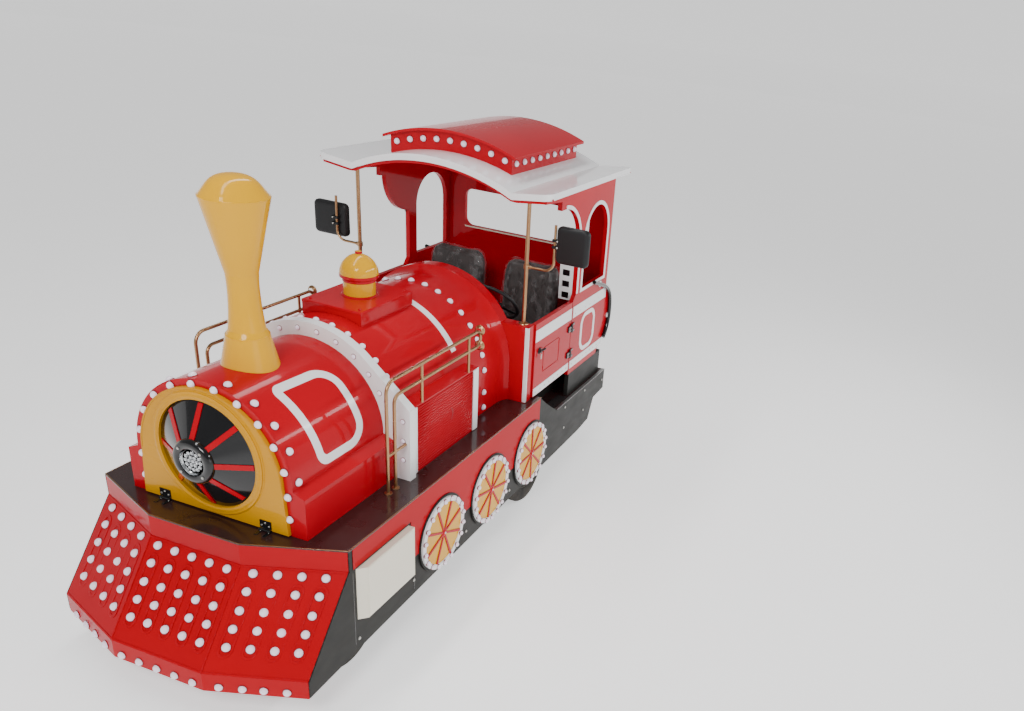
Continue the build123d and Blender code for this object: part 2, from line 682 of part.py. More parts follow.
bar_width, bar_thick = 26.0, 5.0
bar_slope_x = grille_tip_x - grille_face_x
bar_slope_r = grille_rim - grille_tip_radius
bar_gap_rim, bar_gap_tip = 0.06, 0.96       # how far along the cone the bars start and end
bar_foot = (grille_face_x + bar_gap_rim * bar_slope_x, grille_rim - bar_gap_rim * bar_slope_r)
bar_head = (grille_face_x + bar_gap_tip * bar_slope_x, grille_rim - bar_gap_tip * bar_slope_r)
with BuildPart() as grille_bars:
    with BuildSketch(Plane.XZ.offset(bar_width / 2)):
        with BuildLine():
            Polyline((bar_foot[0] - bar_thick, door_z + bar_foot[1]), (bar_head[0] - bar_thick, door_z + bar_head[1]),
                     (bar_head[0] + bar_thick, door_z + bar_head[1]), (bar_foot[0] + bar_thick, door_z + bar_foot[1]),
                     close=True)
        make_face()
    extrude(amount=-bar_width)
    revolve(
        outline(Plane.XZ, [(door_back_x, door_z), (door_back_x, rim_point[1] + seam), cone_section(seam)[0],
                           cone_section(seam)[1], (grille_tip_x, door_z)]),
        axis=lamp_axis, mode=Mode.SUBTRACT,
    )
    first_bar = grille_bars.part
    for turn in range(1, 8):
        add(first_bar.rotate(lamp_axis, 45 * turn))
finish(grille_bars, "grille_bars")

bezel_radius, bezel_depth, bezel_lip = 105.0, 16.0, 6.0
lens_radius, lens_depth, lens_edge = 62.0, 9.0, 4.0
with BuildPart() as headlight:
    with BuildSketch(Plane.XZ):
        with BuildLine():
            Polyline((grille_tip_x, door_z), (grille_tip_x, door_z + bezel_radius),
                     (grille_tip_x + bezel_depth - bezel_lip, door_z + bezel_radius),
                     (grille_tip_x + bezel_depth, door_z + bezel_radius - bezel_lip),
                     (grille_tip_x + bezel_depth, door_z + lens_radius + bezel_lip),
                     (grille_tip_x + bezel_lip, door_z + lens_radius), (grille_tip_x + bezel_lip, door_z), close=True)
        make_face()
    revolve(axis=lamp_axis)
finish(headlight, "headlight")

with BuildPart() as headlamp_lens:
    with BuildSketch(Plane.XZ):
        with BuildLine():
            lens_x = grille_tip_x + bezel_lip
            Polyline((lens_x, door_z), (lens_x, door_z + lens_radius - seam),
                     (lens_x + lens_edge, door_z + lens_radius - seam),
                     (lens_x + lens_depth, door_z + lens_radius - lens_depth),
                     (lens_x + lens_depth, door_z), close=True)
        make_face()
    revolve(axis=lamp_axis)
finish(headlamp_lens, "headlamp_lens")

hinge_ys = (285.0, -285.0)
knuckle_radius, pin_radius = 7.0, 3.5
hinge_width, hinge_middle, hinge_play = 62.0, 30.0, 0.5
leaf_sheet, leaf_height, foot_length, foot_sheet = 4.0, 40.0, 40.0, 3.0
hinge_axis_x = door_face_x + knuckle_radius
hinge_axis_z = deck_top + knuckle_radius + 1
with BuildPart() as smokebox_hinge_leaves:
    for y in hinge_ys:
        with Locations((door_face_x, y, hinge_axis_z + knuckle_radius + 1)):
            Box(leaf_sheet, hinge_width, leaf_height, align=(UP, MIDDLE, UP))
        with Locations((door_face_x, y, hinge_axis_z)):
            Box(leaf_sheet, hinge_middle, leaf_height / 2, align=(UP, MIDDLE, UP))
        with Locations((hinge_axis_x, y, hinge_axis_z)):
            Cylinder(knuckle_radius, hinge_middle, rotation=(90, 0, 0))
            Cylinder(pin_radius, hinge_width, rotation=(90, 0, 0))
finish(smokebox_hinge_leaves, "smokebox_hinge_leaves")

outer_knuckle = (hinge_width - hinge_middle) / 2 - hinge_play
door_pin_radius, door_knuckle_radius = 4.0, 7.5
door_knuckle_middle, door_knuckle_end = 28.0, 15.0
door_leaf_length, door_leaf_sheet = 40.0, 8.0
door_pin_x = doorway_rear_x + 4
door_pin_y = cab_half + door_leaf_sheet
door_foot_z = deck_top + 10
door_hinge_zs = (door_foot_z + 121, door_foot_z + 310)
with BuildPart() as fixed_hinge_halves:
    for y in hinge_ys:
        for end in (1, -1):
            seat_y = y + end * (hinge_width - outer_knuckle) / 2
            with Locations((hinge_axis_x, seat_y, hinge_axis_z)):
                Cylinder(knuckle_radius, outer_knuckle, rotation=(90, 0, 0))
            with Locations((hinge_axis_x, seat_y, deck_top)):
                Box(knuckle_radius, outer_knuckle, hinge_axis_z - deck_top, align=(UP, MIDDLE, UP))
                Box(foot_length, outer_knuckle, foot_sheet, align=(UP, MIDDLE, UP))
            with Locations((hinge_axis_x, seat_y, hinge_axis_z)):
                Cylinder(pin_radius + running_gap, outer_knuckle, rotation=(90, 0, 0), mode=Mode.SUBTRACT)
    for side in (1, -1):
        for z in door_hinge_zs:
            for end in (1, -1):
                end_z = z + end * (door_knuckle_middle + door_knuckle_end + 2) / 2
                with Locations((door_pin_x, side * door_pin_y, end_z)):
                    Cylinder(door_knuckle_radius, door_knuckle_end)
                    with Locations((-door_pin_radius, -side * door_leaf_sheet / 2, 0)):
                        Box(door_leaf_length, door_leaf_sheet, door_knuckle_end, align=(DOWN, MIDDLE, MIDDLE))
                    Cylinder(door_pin_radius + running_gap, door_knuckle_end, mode=Mode.SUBTRACT)
finish(fixed_hinge_halves, "fixed_hinge_halves")

# =====================================================================================
# Cab
# =====================================================================================
dash_half = cab_half - 10
with BuildPart() as cab_front_wall:
    with BuildSketch(station(dash_rear_x)):
        with BuildLine():
            arch_y = sqrt(cowl_radius**2 - (dash_top - boiler_z) ** 2)
            Polyline((arch_y, dash_top), (dash_half, dash_top), (dash_half, deck_top), (-dash_half, deck_top),
                     (-dash_half, dash_top), (-arch_y, dash_top))
            ThreePointArc((-arch_y, dash_top), (0, boiler_z + cowl_radius), (arch_y, dash_top))
        make_face()
    extrude(amount=barrel_rear_x - dash_rear_x)
finish(cab_front_wall, "cab_front_wall")

floor_front_x = deck_rear_x + 5
floor_notch_half = body_half - 70
step_cut_x = step_front_x - 2
with BuildPart() as cab_floor:
    extrude(
        outline(
            Plane.XY.offset(floor_under),
            [(floor_front_x, floor_notch_half), (step_cut_x, floor_notch_half), (step_cut_x, body_half),
             (step_rear_x, body_half), (step_rear_x, -body_half), (step_cut_x, -body_half),
             (step_cut_x, -floor_notch_half), (floor_front_x, -floor_notch_half)],
        ),
        amount=floor_sheet,
    )
    with Locations((floor_front_x, 0, floor_under)):
        Box(floor_sheet, 2 * floor_notch_half, deck_under - floor_under, align=(DOWN, MIDDLE, UP))
finish(cab_floor, "cab_floor")

# side panel: arched window, bulged tail, and a front arm that is arched on the left and lobed on the right
panel_foot = deck_top - 30
doorway_arch_radius = 270.0
doorway_arch_x = doorway_rear_x + 230
doorway_arch_z = fascia_z - 392
doorway_post_x = doorway_arch_x - doorway_arch_radius
doorway_crown_z = doorway_arch_z + doorway_arch_radius
doorway_45 = doorway_arch_radius * cos(radians(45))
doorway_middles = {1: (doorway_arch_x - doorway_45, doorway_arch_z + doorway_45),
                   -1: (doorway_post_x + doorway_45, doorway_crown_z - doorway_45)}
window_front_x, window_rear_x, window_arch_z = -1220.0, -1620.0, fascia_z - 377
window_radius = (window_front_x - window_rear_x) / 2
tail_bulge_x, tail_top_z, tail_foot_z = -1794.0, dash_top - 45, deck_top + 67
with BuildPart() as cab_sides:
    for side in (1, -1):
        with BuildSketch(side_plane(side * inner_half)):
            with BuildLine():
                Polyline((cab_rear_x + 60, tail_foot_z - 23), (cab_rear_x + 100, panel_foot),
                         (doorway_rear_x, panel_foot), (doorway_rear_x, dash_top),
                         (doorway_post_x, dash_top + 45), (doorway_post_x, doorway_arch_z))
                ThreePointArc((doorway_post_x, doorway_arch_z), doorway_middles[side],
                              (doorway_arch_x, doorway_crown_z))
                Polyline((doorway_arch_x, doorway_crown_z), (doorway_arch_x + 60, doorway_crown_z),
                         (doorway_arch_x + 60, fascia_z - 67), (dash_rear_x - 40, fascia_z - 47),
                         (dash_rear_x, fascia_z), (cab_rear_x, fascia_z), (cab_rear_x, tail_top_z))
                ThreePointArc((cab_rear_x, tail_top_z), (tail_bulge_x, (tail_top_z + tail_foot_z) / 2),
                              (cab_rear_x, tail_foot_z))
                Line((cab_rear_x, tail_foot_z), (cab_rear_x + 60, tail_foot_z - 23))
            make_face()
            with BuildLine():
                Polyline((window_front_x, window_arch_z), (window_front_x, sill_z), (window_rear_x, sill_z),
                         (window_rear_x, window_arch_z))
                ThreePointArc((window_rear_x, window_arch_z), (window_rear_x + window_radius, window_arch_z + window_radius),
                              (window_front_x, window_arch_z))
            make_face(mode=Mode.SUBTRACT)
        extrude(amount=-side * wall)
finish(cab_sides, "cab_sides")

lower_front_x, lower_rear_x = doorway_rear_x - 20, cab_rear_x + 10
with BuildPart() as lower_panels:
    for side in (1, -1):
        with Locations(((lower_front_x + lower_rear_x) / 2, side * (cab_half - wall / 2), floor_top)):
            Box(lower_front_x - lower_rear_x, wall, panel_foot - floor_top, align=(MIDDLE, MIDDLE, UP))
finish(lower_panels, "lower_panels")

guard_radius = 14.0
guard_bends = [(-1416.0, sill_z), (-1596.0, sill_z - 64), (-1746.0, sill_z - 162), (-1780.0, sill_z - 287),
               (-1762.0, sill_z - 409), (cab_rear_x, sill_z - 495)]
with BuildPart() as rear_guards:
    for side in (1, -1):
        y = side * (cab_half + guard_radius + seam)
        with BuildLine() as guard_route:
            Spline(*[(x, y, z) for x, z in guard_bends])
        with BuildSketch(Plane(origin=guard_route.line @ 0, z_dir=guard_route.line % 0)):
            Circle(guard_radius)
        sweep(path=guard_route.line)
finish(rear_guards, "rear_guards")

rear_window_half, rear_window_bottom, rear_window_top, rear_window_corner = 500.0, 1510.0, 1780.0, 60.0
brim_slope = (brim_tip_z - brim_z) / (roof_half - brim_y)
rear_eave_z = brim_z + (inner_half - brim_y) * brim_slope - seam
with BuildPart() as cab_rear_wall:
    with BuildSketch(station(cab_rear_x)):
        with BuildLine():
            Polyline((brim_y, brim_z - seam), (inner_half, rear_eave_z), (inner_half, floor_top),
                     (-inner_half, floor_top), (-inner_half, rear_eave_z), (-brim_y, brim_z - seam))
            ThreePointArc((-brim_y, brim_z - seam), (0, roof_apex - seam), (brim_y, brim_z - seam))
        make_face()
        with Locations((0, (rear_window_bottom + rear_window_top) / 2)):
            RectangleRounded(2 * rear_window_half, rear_window_top - rear_window_bottom, rear_window_corner,
                             mode=Mode.SUBTRACT)
    extrude(amount=wall)
finish(cab_rear_wall, "cab_rear_wall")

roof_corner = 55.0
brim_top, tip_top, apex_top = brim_z + roof_sheet, brim_tip_z + roof_sheet, roof_apex + roof_sheet
with BuildPart() as cab_roof:
    with BuildSketch(station(cab_rear_x)):
        with BuildLine():
            Polyline((brim_y, brim_z), (roof_half, brim_tip_z), (roof_half, tip_top), (brim_y, brim_top))
            ThreePointArc((brim_y, brim_top), (0, apex_top), (-brim_y, brim_top))
            Polyline((-brim_y, brim_top), (-roof_half, tip_top), (-roof_half, brim_tip_z), (-brim_y, brim_z))
            ThreePointArc((-brim_y, brim_z), (0, roof_apex), (brim_y, brim_z))
        make_face()
    extrude(amount=roof_front_x - cab_rear_x)
    fillet(cab_roof.edges().filter_by(Axis.Z), roof_corner)
finish(cab_roof, "cab_roof")

# lantern box on the roof, cut to the roof's arch, with an overhanging arched lid
lantern_front_x, lantern_rear_x, lantern_half = -600.0, -1550.0, 410.0
lid_overhang, lid_edge, lid_rise, lid_lap = 35.0, 22.0, 88.0, 5.0
lantern_top = apex_top + 22
lid_half = lantern_half + lid_overhang
lid_foot, lid_shoulder = lantern_top - lid_lap, lantern_top - lid_lap + lid_edge
roof_rise = apex_top - brim_top
roof_arc_radius = (roof_rise**2 + brim_y**2) / (2 * roof_rise)
lantern_foot = apex_top - roof_arc_radius + sqrt((roof_arc_radius + seam) ** 2 - lantern_half**2)
with BuildPart() as roof_lantern:
    with BuildSketch(station(lantern_rear_x)):
        with BuildLine():
            Polyline((lantern_half, lantern_foot), (lantern_half, lantern_top),
                     (-lantern_half, lantern_top), (-lantern_half, lantern_foot))
            ThreePointArc((-lantern_half, lantern_foot), (0, apex_top + seam), (lantern_half, lantern_foot))
        make_face()
    extrude(amount=lantern_front_x - lantern_rear_x)
    with BuildSketch(station(lantern_rear_x - lid_overhang)):
        with BuildLine():
            Polyline((lid_half, lid_shoulder), (lid_half, lid_foot), (-lid_half, lid_foot), (-lid_half, lid_shoulder))
            ThreePointArc((-lid_half, lid_shoulder), (0, lid_shoulder + lid_rise), (lid_half, lid_shoulder))
        make_face()
    extrude(amount=lantern_front_x - lantern_rear_x + 2 * lid_overhang)
finish(roof_lantern, "roof_lantern")

# brass roof posts, each with a bent arm for its mirror
post_x, post_y, post_radius = -500.0, cab_half - 76, 12.0
arm_radius, arm_bend = 8.0, 60.0
post_top = brim_z + (post_y - post_radius - brim_y) * brim_slope - seam
mirror_sets = (
    # side, arm height, arm reach, arm tip, head set back, head inner y, outer y, bottom and top
    (1, 1660.0, cab_half + 100, 1940.0, 0.0, cab_half + 112, cab_half + 315, 1720.0, 1940.0),
    (-1, 1575.0, cab_half + 90, 1850.0, -30.0, cab_half + 30, cab_half + 275, 1590.0, 1800.0),
)
with BuildPart() as cab_posts:
    for side, arm_z, arm_y, tip_z, *_ in mirror_sets:
        with Locations((post_x, side * post_y, dash_top)):
            Cylinder(post_radius, post_top - dash_top, align=(MIDDLE, MIDDLE, UP))
        with BuildLine() as arm_route:
            FilletPolyline((post_x, side * post_y, arm_z), (post_x, side * arm_y, arm_z),
                           (post_x, side * arm_y, tip_z), radius=arm_bend)
        with BuildSketch(side_plane(side * post_y)):
            with Locations((post_x, arm_z)):
                Circle(arm_radius)
        sweep(path=arm_route.line)
finish(cab_posts, "cab_posts")

head_depth, head_corner = 36.0, 28.0
clamp_depth, clamp_width, clamp_height = 32.0, 44.0, 70.0
with BuildPart() as mirrors:
    for side, _, arm_y, _, set_back, y0, y1, z0, z1 in mirror_sets:
        with BuildSketch(station(post_x + set_back - head_depth / 2)):
            with Locations((side * (y0 + y1) / 2, (z0 + z1) / 2)):
                RectangleRounded(y1 - y0, z1 - z0, head_corner)
        extrude(amount=head_depth)
        with Locations((post_x - 4, side * (arm_y + arm_radius), (z0 + z1) / 2)):
            Box(clamp_depth, clamp_width, clamp_height)
        with Locations((post_x, side * arm_y, (z0 + z1) / 2)):
            Cylinder(arm_radius + running_gap, z1 - z0, mode=Mode.SUBTRACT)
finish(mirrors, "mirrors")

# half doors, hung at their rear edge on two butt hinges, opening outwards
half_door_front_x = dash_rear_x - door_gap
half_door_rear_x = doorway_rear_x + door_gap + 1
half_door_foot, half_door_top = door_foot_z, dash_top
for hand, side in LEFT_RIGHT:
    with BuildPart() as half_door:
        with BuildSketch(side_plane(side * inner_half)):
            with Locations(((half_door_front_x + half_door_rear_x) / 2, (half_door_foot + half_door_top) / 2)):
                Rectangle(half_door_front_x - half_door_rear_x, half_door_top - half_door_foot)
        extrude(amount=-side * wall)
        for z in door_hinge_zs:
            with Locations((door_pin_x, side * door_pin_y, z)):
                Cylinder(door_pin_radius, door_knuckle_middle + 2 * door_knuckle_end + 2)
                Cylinder(door_knuckle_radius, door_knuckle_middle)
                with Locations((door_pin_radius, -side * door_leaf_sheet / 2, 0)):
                    Box(door_leaf_length, door_leaf_sheet, door_knuckle_middle, align=(UP, MIDDLE, MIDDLE))
    finish(half_door, f"door_{hand}")

# bench box and two bucket seats
bench_top, bench_front_x, bench_half, bench_board = 960.0, -800.0, 520.0, 15.0
bench_rear_x = cab_rear_x + wall
bench_length = bench_front_x - bench_rear_x
bench_middle_x = (bench_front_x + bench_rear_x) / 2
with BuildPart() as seat_base:
    with BuildSketch(Plane.XY.offset(floor_top)):
        with Locations((bench_middle_x, 0)):
            Rectangle(bench_length, 2 * bench_half)
            Rectangle(bench_length - 2 * bench_board, 2 * (bench_half - bench_board), mode=Mode.SUBTRACT)
    extrude(amount=bench_top - floor_top)
    with Locations((bench_middle_x, 0, bench_top)):
        Box(bench_length, 2 * bench_half, bench_board, align=(MIDDLE, MIDDLE, DOWN))
finish(seat_base, "seat_base")

seat_half, seat_y = 210.0, 290.0
seat_outline = [(-760.0, bench_top + 40), (-760.0, bench_top + 110), (-1130.0, bench_top + 100),
                (-1200.0, bench_top + 520), (-1290.0, bench_top + 530), (-1240.0, bench_top), (-900.0, bench_top)]
with BuildPart() as seats:
    for side in (1, -1):
        extrude(outline(side_plane(side * seat_y - seat_half), seat_outline), amount=-2 * seat_half)
finish(seats, "seats")

wheel_x, wheel_y, wheel_z = -640.0, seat_y, dash_top + 30
column_tilt = 40.0
column_radius, column_length, column_set = 20.0, 200.0, 30.0
column_dir = Vector(-cos(radians(column_tilt)), 0, sin(radians(column_tilt)))
wheel_plane = Plane(origin=(wheel_x, wheel_y, wheel_z), z_dir=column_dir)
with BuildPart() as steering_column:
    with BuildSketch(wheel_plane.offset(-column_set)):
        Circle(column_radius)
    extrude(amount=-column_length)
    split(bisect_by=Plane.YZ.offset(dash_rear_x), keep=Keep.BOTTOM)
finish(steering_column, "steering_column")

wheel_radius, wheel_grip, wheel_thick = 180.0, 22.0, 22.0
boss_radius, neck_radius, spoke_width = 40.0, 26.0, 26.0
with BuildPart() as steering_wheel:
    with BuildSketch(wheel_plane):
        Circle(wheel_radius)
        Circle(wheel_radius - wheel_grip, mode=Mode.SUBTRACT)
        Circle(boss_radius)
        with PolarLocations(0, 3):
            with Locations(((wheel_radius - wheel_grip) / 2 + 6, 0)):
                Rectangle(wheel_radius - wheel_grip, spoke_width)
    extrude(amount=wheel_thick)
    with BuildSketch(wheel_plane):
        Circle(neck_radius)
    extrude(amount=seam - column_set)
finish(steering_wheel, "steering_wheel")
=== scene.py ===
"""Looks of a trackless amusement-train locomotive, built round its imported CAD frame. Metres."""
import math

import bmesh
import bpy
from mathutils import Matrix, Vector


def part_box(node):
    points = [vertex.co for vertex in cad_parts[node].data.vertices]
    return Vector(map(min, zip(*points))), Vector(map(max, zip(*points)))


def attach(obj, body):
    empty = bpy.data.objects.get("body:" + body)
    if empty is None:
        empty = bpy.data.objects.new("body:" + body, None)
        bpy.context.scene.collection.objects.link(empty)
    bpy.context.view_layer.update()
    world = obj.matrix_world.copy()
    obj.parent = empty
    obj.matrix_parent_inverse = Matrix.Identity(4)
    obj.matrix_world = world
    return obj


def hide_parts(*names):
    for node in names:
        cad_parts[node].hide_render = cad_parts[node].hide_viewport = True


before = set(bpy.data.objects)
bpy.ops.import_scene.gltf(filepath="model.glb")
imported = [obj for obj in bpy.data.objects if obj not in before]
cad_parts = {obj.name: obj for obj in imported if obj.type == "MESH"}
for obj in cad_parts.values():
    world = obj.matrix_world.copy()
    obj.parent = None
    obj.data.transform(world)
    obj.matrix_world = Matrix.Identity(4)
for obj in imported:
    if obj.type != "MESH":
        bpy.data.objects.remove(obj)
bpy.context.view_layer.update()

X, Y, Z = Vector((1, 0, 0)), Vector((0, 1, 0)), Vector((0, 0, 1))
SIDES = ((1, "left"), (-1, "right"))
big_bulb = 0.0185

# ---- places read from the frame ---------------------------------------------------
deck_lo, deck_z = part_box("running_deck")[0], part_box("running_deck")[1].z
body_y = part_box("running_deck")[1].y
barrel_lo, barrel_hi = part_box("front_barrel")
boiler_z = deck_z + 0.240
front_r = barrel_hi.z - boiler_z
hoop_lo, hoop_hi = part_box("white_hoop")
hoop_r = hoop_hi.z - boiler_z
rear_r = hoop_r - 0.010
louver_lo, louver_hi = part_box("louver_boxes")
saddle_lo, saddle_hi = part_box("bell_plinth")
door_lo, door_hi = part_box("door_left")
cab_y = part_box("cab_front_wall")[1].y + 0.010
dash_z = door_hi.z
roof_lo, roof_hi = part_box("cab_roof")
lantern_lo, lantern_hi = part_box("roof_lantern")
lamp_lo, lamp_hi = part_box("headlight")
lamp_z = (lamp_lo.z + lamp_hi.z) / 2
door_plate_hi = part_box("smokebox_door")[1]
foot_lo, foot_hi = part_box("cowcatcher")


# ---- shader groups ----------------------------------------------------------------
def start_group(name, inputs, outputs):
    """New shader group with named sockets; returns its tree, its input node and its output node."""
    tree = bpy.data.node_groups.new(name, "ShaderNodeTree")
    for label, kind, value in inputs:
        tree.interface.new_socket(label, in_out="INPUT", socket_type=kind).default_value = value
    for label, kind in outputs:
        tree.interface.new_socket(label, in_out="OUTPUT", socket_type=kind)
    return tree, tree.nodes.new("NodeGroupInput"), tree.nodes.new("NodeGroupOutput")


def noise(tree, coords, scale, detail=3.0, stretch=None):
    """Noise mask in object space, stretched where a scale for each axis is given."""
    node = tree.nodes.new("ShaderNodeTexNoise")
    node.inputs["Scale"].default_value = scale
    node.inputs["Detail"].default_value = detail
    if stretch:
        mapping = tree.nodes.new("ShaderNodeMapping")
        mapping.inputs["Scale"].default_value = stretch
        tree.links.new(coords, mapping.inputs["Vector"])
        coords = mapping.outputs["Vector"]
    tree.links.new(coords, node.inputs["Vector"])
    return node.outputs["Fac"]


def maths(tree, operation, first, second, clamp=False):
    """Math node on two sockets or numbers."""
    node = tree.nodes.new("ShaderNodeMath")
    node.operation = operation
    node.use_clamp = clamp
    for socket, value in zip(node.inputs, (first, second)):
        if isinstance(value, (int, float)):
            socket.default_value = value
        else:
            tree.links.new(value, socket)
    return node.outputs[0]


def spread(tree, value, low, high, to_low, to_high):
    """Map Range node, clamped, between sockets or numbers."""
    node = tree.nodes.new("ShaderNodeMapRange")
    for label, item in (("Value", value), ("From Min", low), ("From Max", high), ("To Min", to_low),
                        ("To Max", to_high)):
        if isinstance(item, (int, float)):
            node.inputs[label].default_value = item
        else:
            tree.links.new(item, node.inputs[label])
    return node.outputs["Result"]


def mix(tree, factor, first, second, blend="MIX"):
    """Colour mix of two sockets or colours."""
    node = tree.nodes.new("ShaderNodeMix")
    node.data_type = "RGBA"
    node.blend_type = blend
    for socket, value in ((node.inputs[0], factor), (node.inputs[6], first), (node.inputs[7], second)):
        if isinstance(value, (int, float)):
            socket.default_value = value
        elif isinstance(value, tuple):
            socket.default_value = (*value, 1.0)
        else:
            tree.links.new(value, socket)
    return node.outputs[2]


def make_sprayed_film():
    """Sprayed finish: broad shade drift, faint wipe marks in the gloss, orange peel and eased edges; edges
    are paled towards light grey where chip noise allows, partly wear and partly a painted highlight.
    """
    tree, given, result = start_group(
        "sprayed_film",
        [("Color", "NodeSocketColor", (0.5, 0.5, 0.5, 1)), ("Drift", "NodeSocketFloat", 0.1),
         ("Roughness", "NodeSocketFloat", 0.2), ("Wipe", "NodeSocketFloat", 0.08),
         ("Edge Wear Highlight", "NodeSocketFloat", 0.3)],
        [("Color", "NodeSocketColor"), ("Roughness", "NodeSocketFloat"), ("Height", "NodeSocketFloat"),
         ("Normal", "NodeSocketVector")],
    )
    coords = tree.nodes.new("ShaderNodeTexCoord").outputs["Object"]
    broad = noise(tree, coords, 1.7)
    wiped = noise(tree, coords, 7.0, 5.0, (1.0, 1.0, 2.6))
    peel = noise(tree, coords, 190.0, 2.0)
    ripple = noise(tree, coords, 9.0, 1.0)
    low = maths(tree, "SUBTRACT", 1.0, given.outputs["Drift"])
    shade = spread(tree, broad, 0.3, 0.7, low, 1.0)
    tinted = mix(tree, 1.0, given.outputs["Color"], shade, "MULTIPLY")
    bevel = tree.nodes.new("ShaderNodeBevel")
    bevel.samples = 4
    bevel.inputs["Radius"].default_value = 0.0025
    flat = tree.nodes.new("ShaderNodeNewGeometry")
    match = tree.nodes.new("ShaderNodeVectorMath")
    match.operation = "DOT_PRODUCT"
    tree.links.new(bevel.outputs["Normal"], match.inputs[0])
    tree.links.new(flat.outputs["Normal"], match.inputs[1])
    # Edge mask from the bevel normal, broken by chip noise and paled towards light grey: partly worn paint,
    # partly a painted highlight along the edges.
    edge = spread(tree, match.outputs["Value"], 0.80, 0.995, 1.0, 0.0)
    chips = spread(tree, noise(tree, coords, 55.0, 4.0), 0.5, 0.64, 0.0, 1.0)
    edge_wear_and_highlight = maths(tree, "MULTIPLY", maths(tree, "MULTIPLY", edge, chips), given.outputs["Edge Wear Highlight"], True)
    lighter = mix(tree, 0.55, tinted, (0.75, 0.72, 0.70))
    tree.links.new(mix(tree, edge_wear_and_highlight, tinted, lighter), result.inputs["Color"])
    rough = maths(tree, "ADD", given.outputs["Roughness"],
                  maths(tree, "MULTIPLY", spread(tree, wiped, 0.35, 0.75, 0.0, 1.0), given.outputs["Wipe"]))
    tree.links.new(maths(tree, "ADD", rough, maths(tree, "MULTIPLY", edge_wear_and_highlight, 0.3), True),
                   result.inputs["Roughness"])
    height = maths(tree, "ADD", maths(tree, "MULTIPLY", peel, 0.25), ripple)
    tree.links.new(height, result.inputs["Height"])
    tree.links.new(bevel.outputs["Normal"], result.inputs["Normal"])
    return tree


def make_road_dust():
    """Grey-brown dust that thickens towards the ground and gathers in blotches."""
    tree, given, result = start_group(
        "road_dust",
        [("Color", "NodeSocketColor", (0.5, 0.5, 0.5, 1)), ("Roughness", "NodeSocketFloat", 0.3),
         ("Top", "NodeSocketFloat", 0.5), ("Amount", "NodeSocketFloat", 0.3)],
        [("Color", "NodeSocketColor"), ("Roughness", "NodeSocketFloat")],
    )
    coords = tree.nodes.new("ShaderNodeTexCoord").outputs["Object"]
    parts = tree.nodes.new("ShaderNodeSeparateXYZ")
    tree.links.new(coords, parts.inputs[0])
    rise = spread(tree, parts.outputs["Z"], 0.0, given.outputs["Top"], 1.0, 0.0)
    blotch = spread(tree, noise(tree, coords, 14.0, 6.0), 0.35, 0.7, 0.25, 1.0)
    mask = maths(tree, "MULTIPLY", maths(tree, "MULTIPLY", rise, blotch), given.outputs["Amount"], True)
    tree.links.new(mix(tree, mask, given.outputs["Color"], (0.20, 0.17, 0.14)), result.inputs["Color"])
    tree.links.new(maths(tree, "ADD", given.outputs["Roughness"], maths(tree, "MULTIPLY", mask, 0.5), True),
                   result.inputs["Roughness"])
    return tree


def make_creases():
    """Wrinkles of a thin sheet: stretched ridges crossing each other, sharp along their tops."""
    tree, given, result = start_group(
        "creases",
        [("Scale", "NodeSocketFloat", 8.0), ("Sharpness", "NodeSocketFloat", 0.5)],
        [("Height", "NodeSocketFloat"), ("Mask", "NodeSocketFloat")],
    )
    coords = tree.nodes.new("ShaderNodeTexCoord").outputs["Object"]
    heights = []
    for stretch in ((1.0, 2.4, 0.7), (2.2, 0.8, 1.3)):
        ridges = tree.nodes.new("ShaderNodeTexNoise")
        ridges.inputs["Detail"].default_value = 4.0
        ridges.inputs["Distortion"].default_value = 1.1
        mapping = tree.nodes.new("ShaderNodeMapping")
        mapping.inputs["Scale"].default_value = stretch
        tree.links.new(coords, mapping.inputs["Vector"])
        tree.links.new(mapping.outputs["Vector"], ridges.inputs["Vector"])
        tree.links.new(given.outputs["Scale"], ridges.inputs["Scale"])
        fold = maths(tree, "ABSOLUTE", maths(tree, "SUBTRACT", ridges.outputs["Fac"], 0.5), 0.0)
        heights.append(spread(tree, fold, 0.0, 0.12, 1.0, 0.0))
    both = maths(tree, "MAXIMUM", heights[0], heights[1])
    tree.links.new(both, result.inputs["Height"])
    tree.links.new(maths(tree, "MULTIPLY", spread(tree, both, 0.45, 1.0, 0.0, 1.0),
                         given.outputs["Sharpness"], True),
                   result.inputs["Mask"])
    return tree


FILM, DUST, CREASES = make_sprayed_film(), make_road_dust(), make_creases()


# ---- materials --------------------------------------------------------------------
def place_group(tree, group, values):
    """Group node in a material, with its input values set."""
    node = tree.nodes.new("ShaderNodeGroup")
    node.node_tree = group
    for label, value in values.items():
        node.inputs[label].default_value = value
    return node


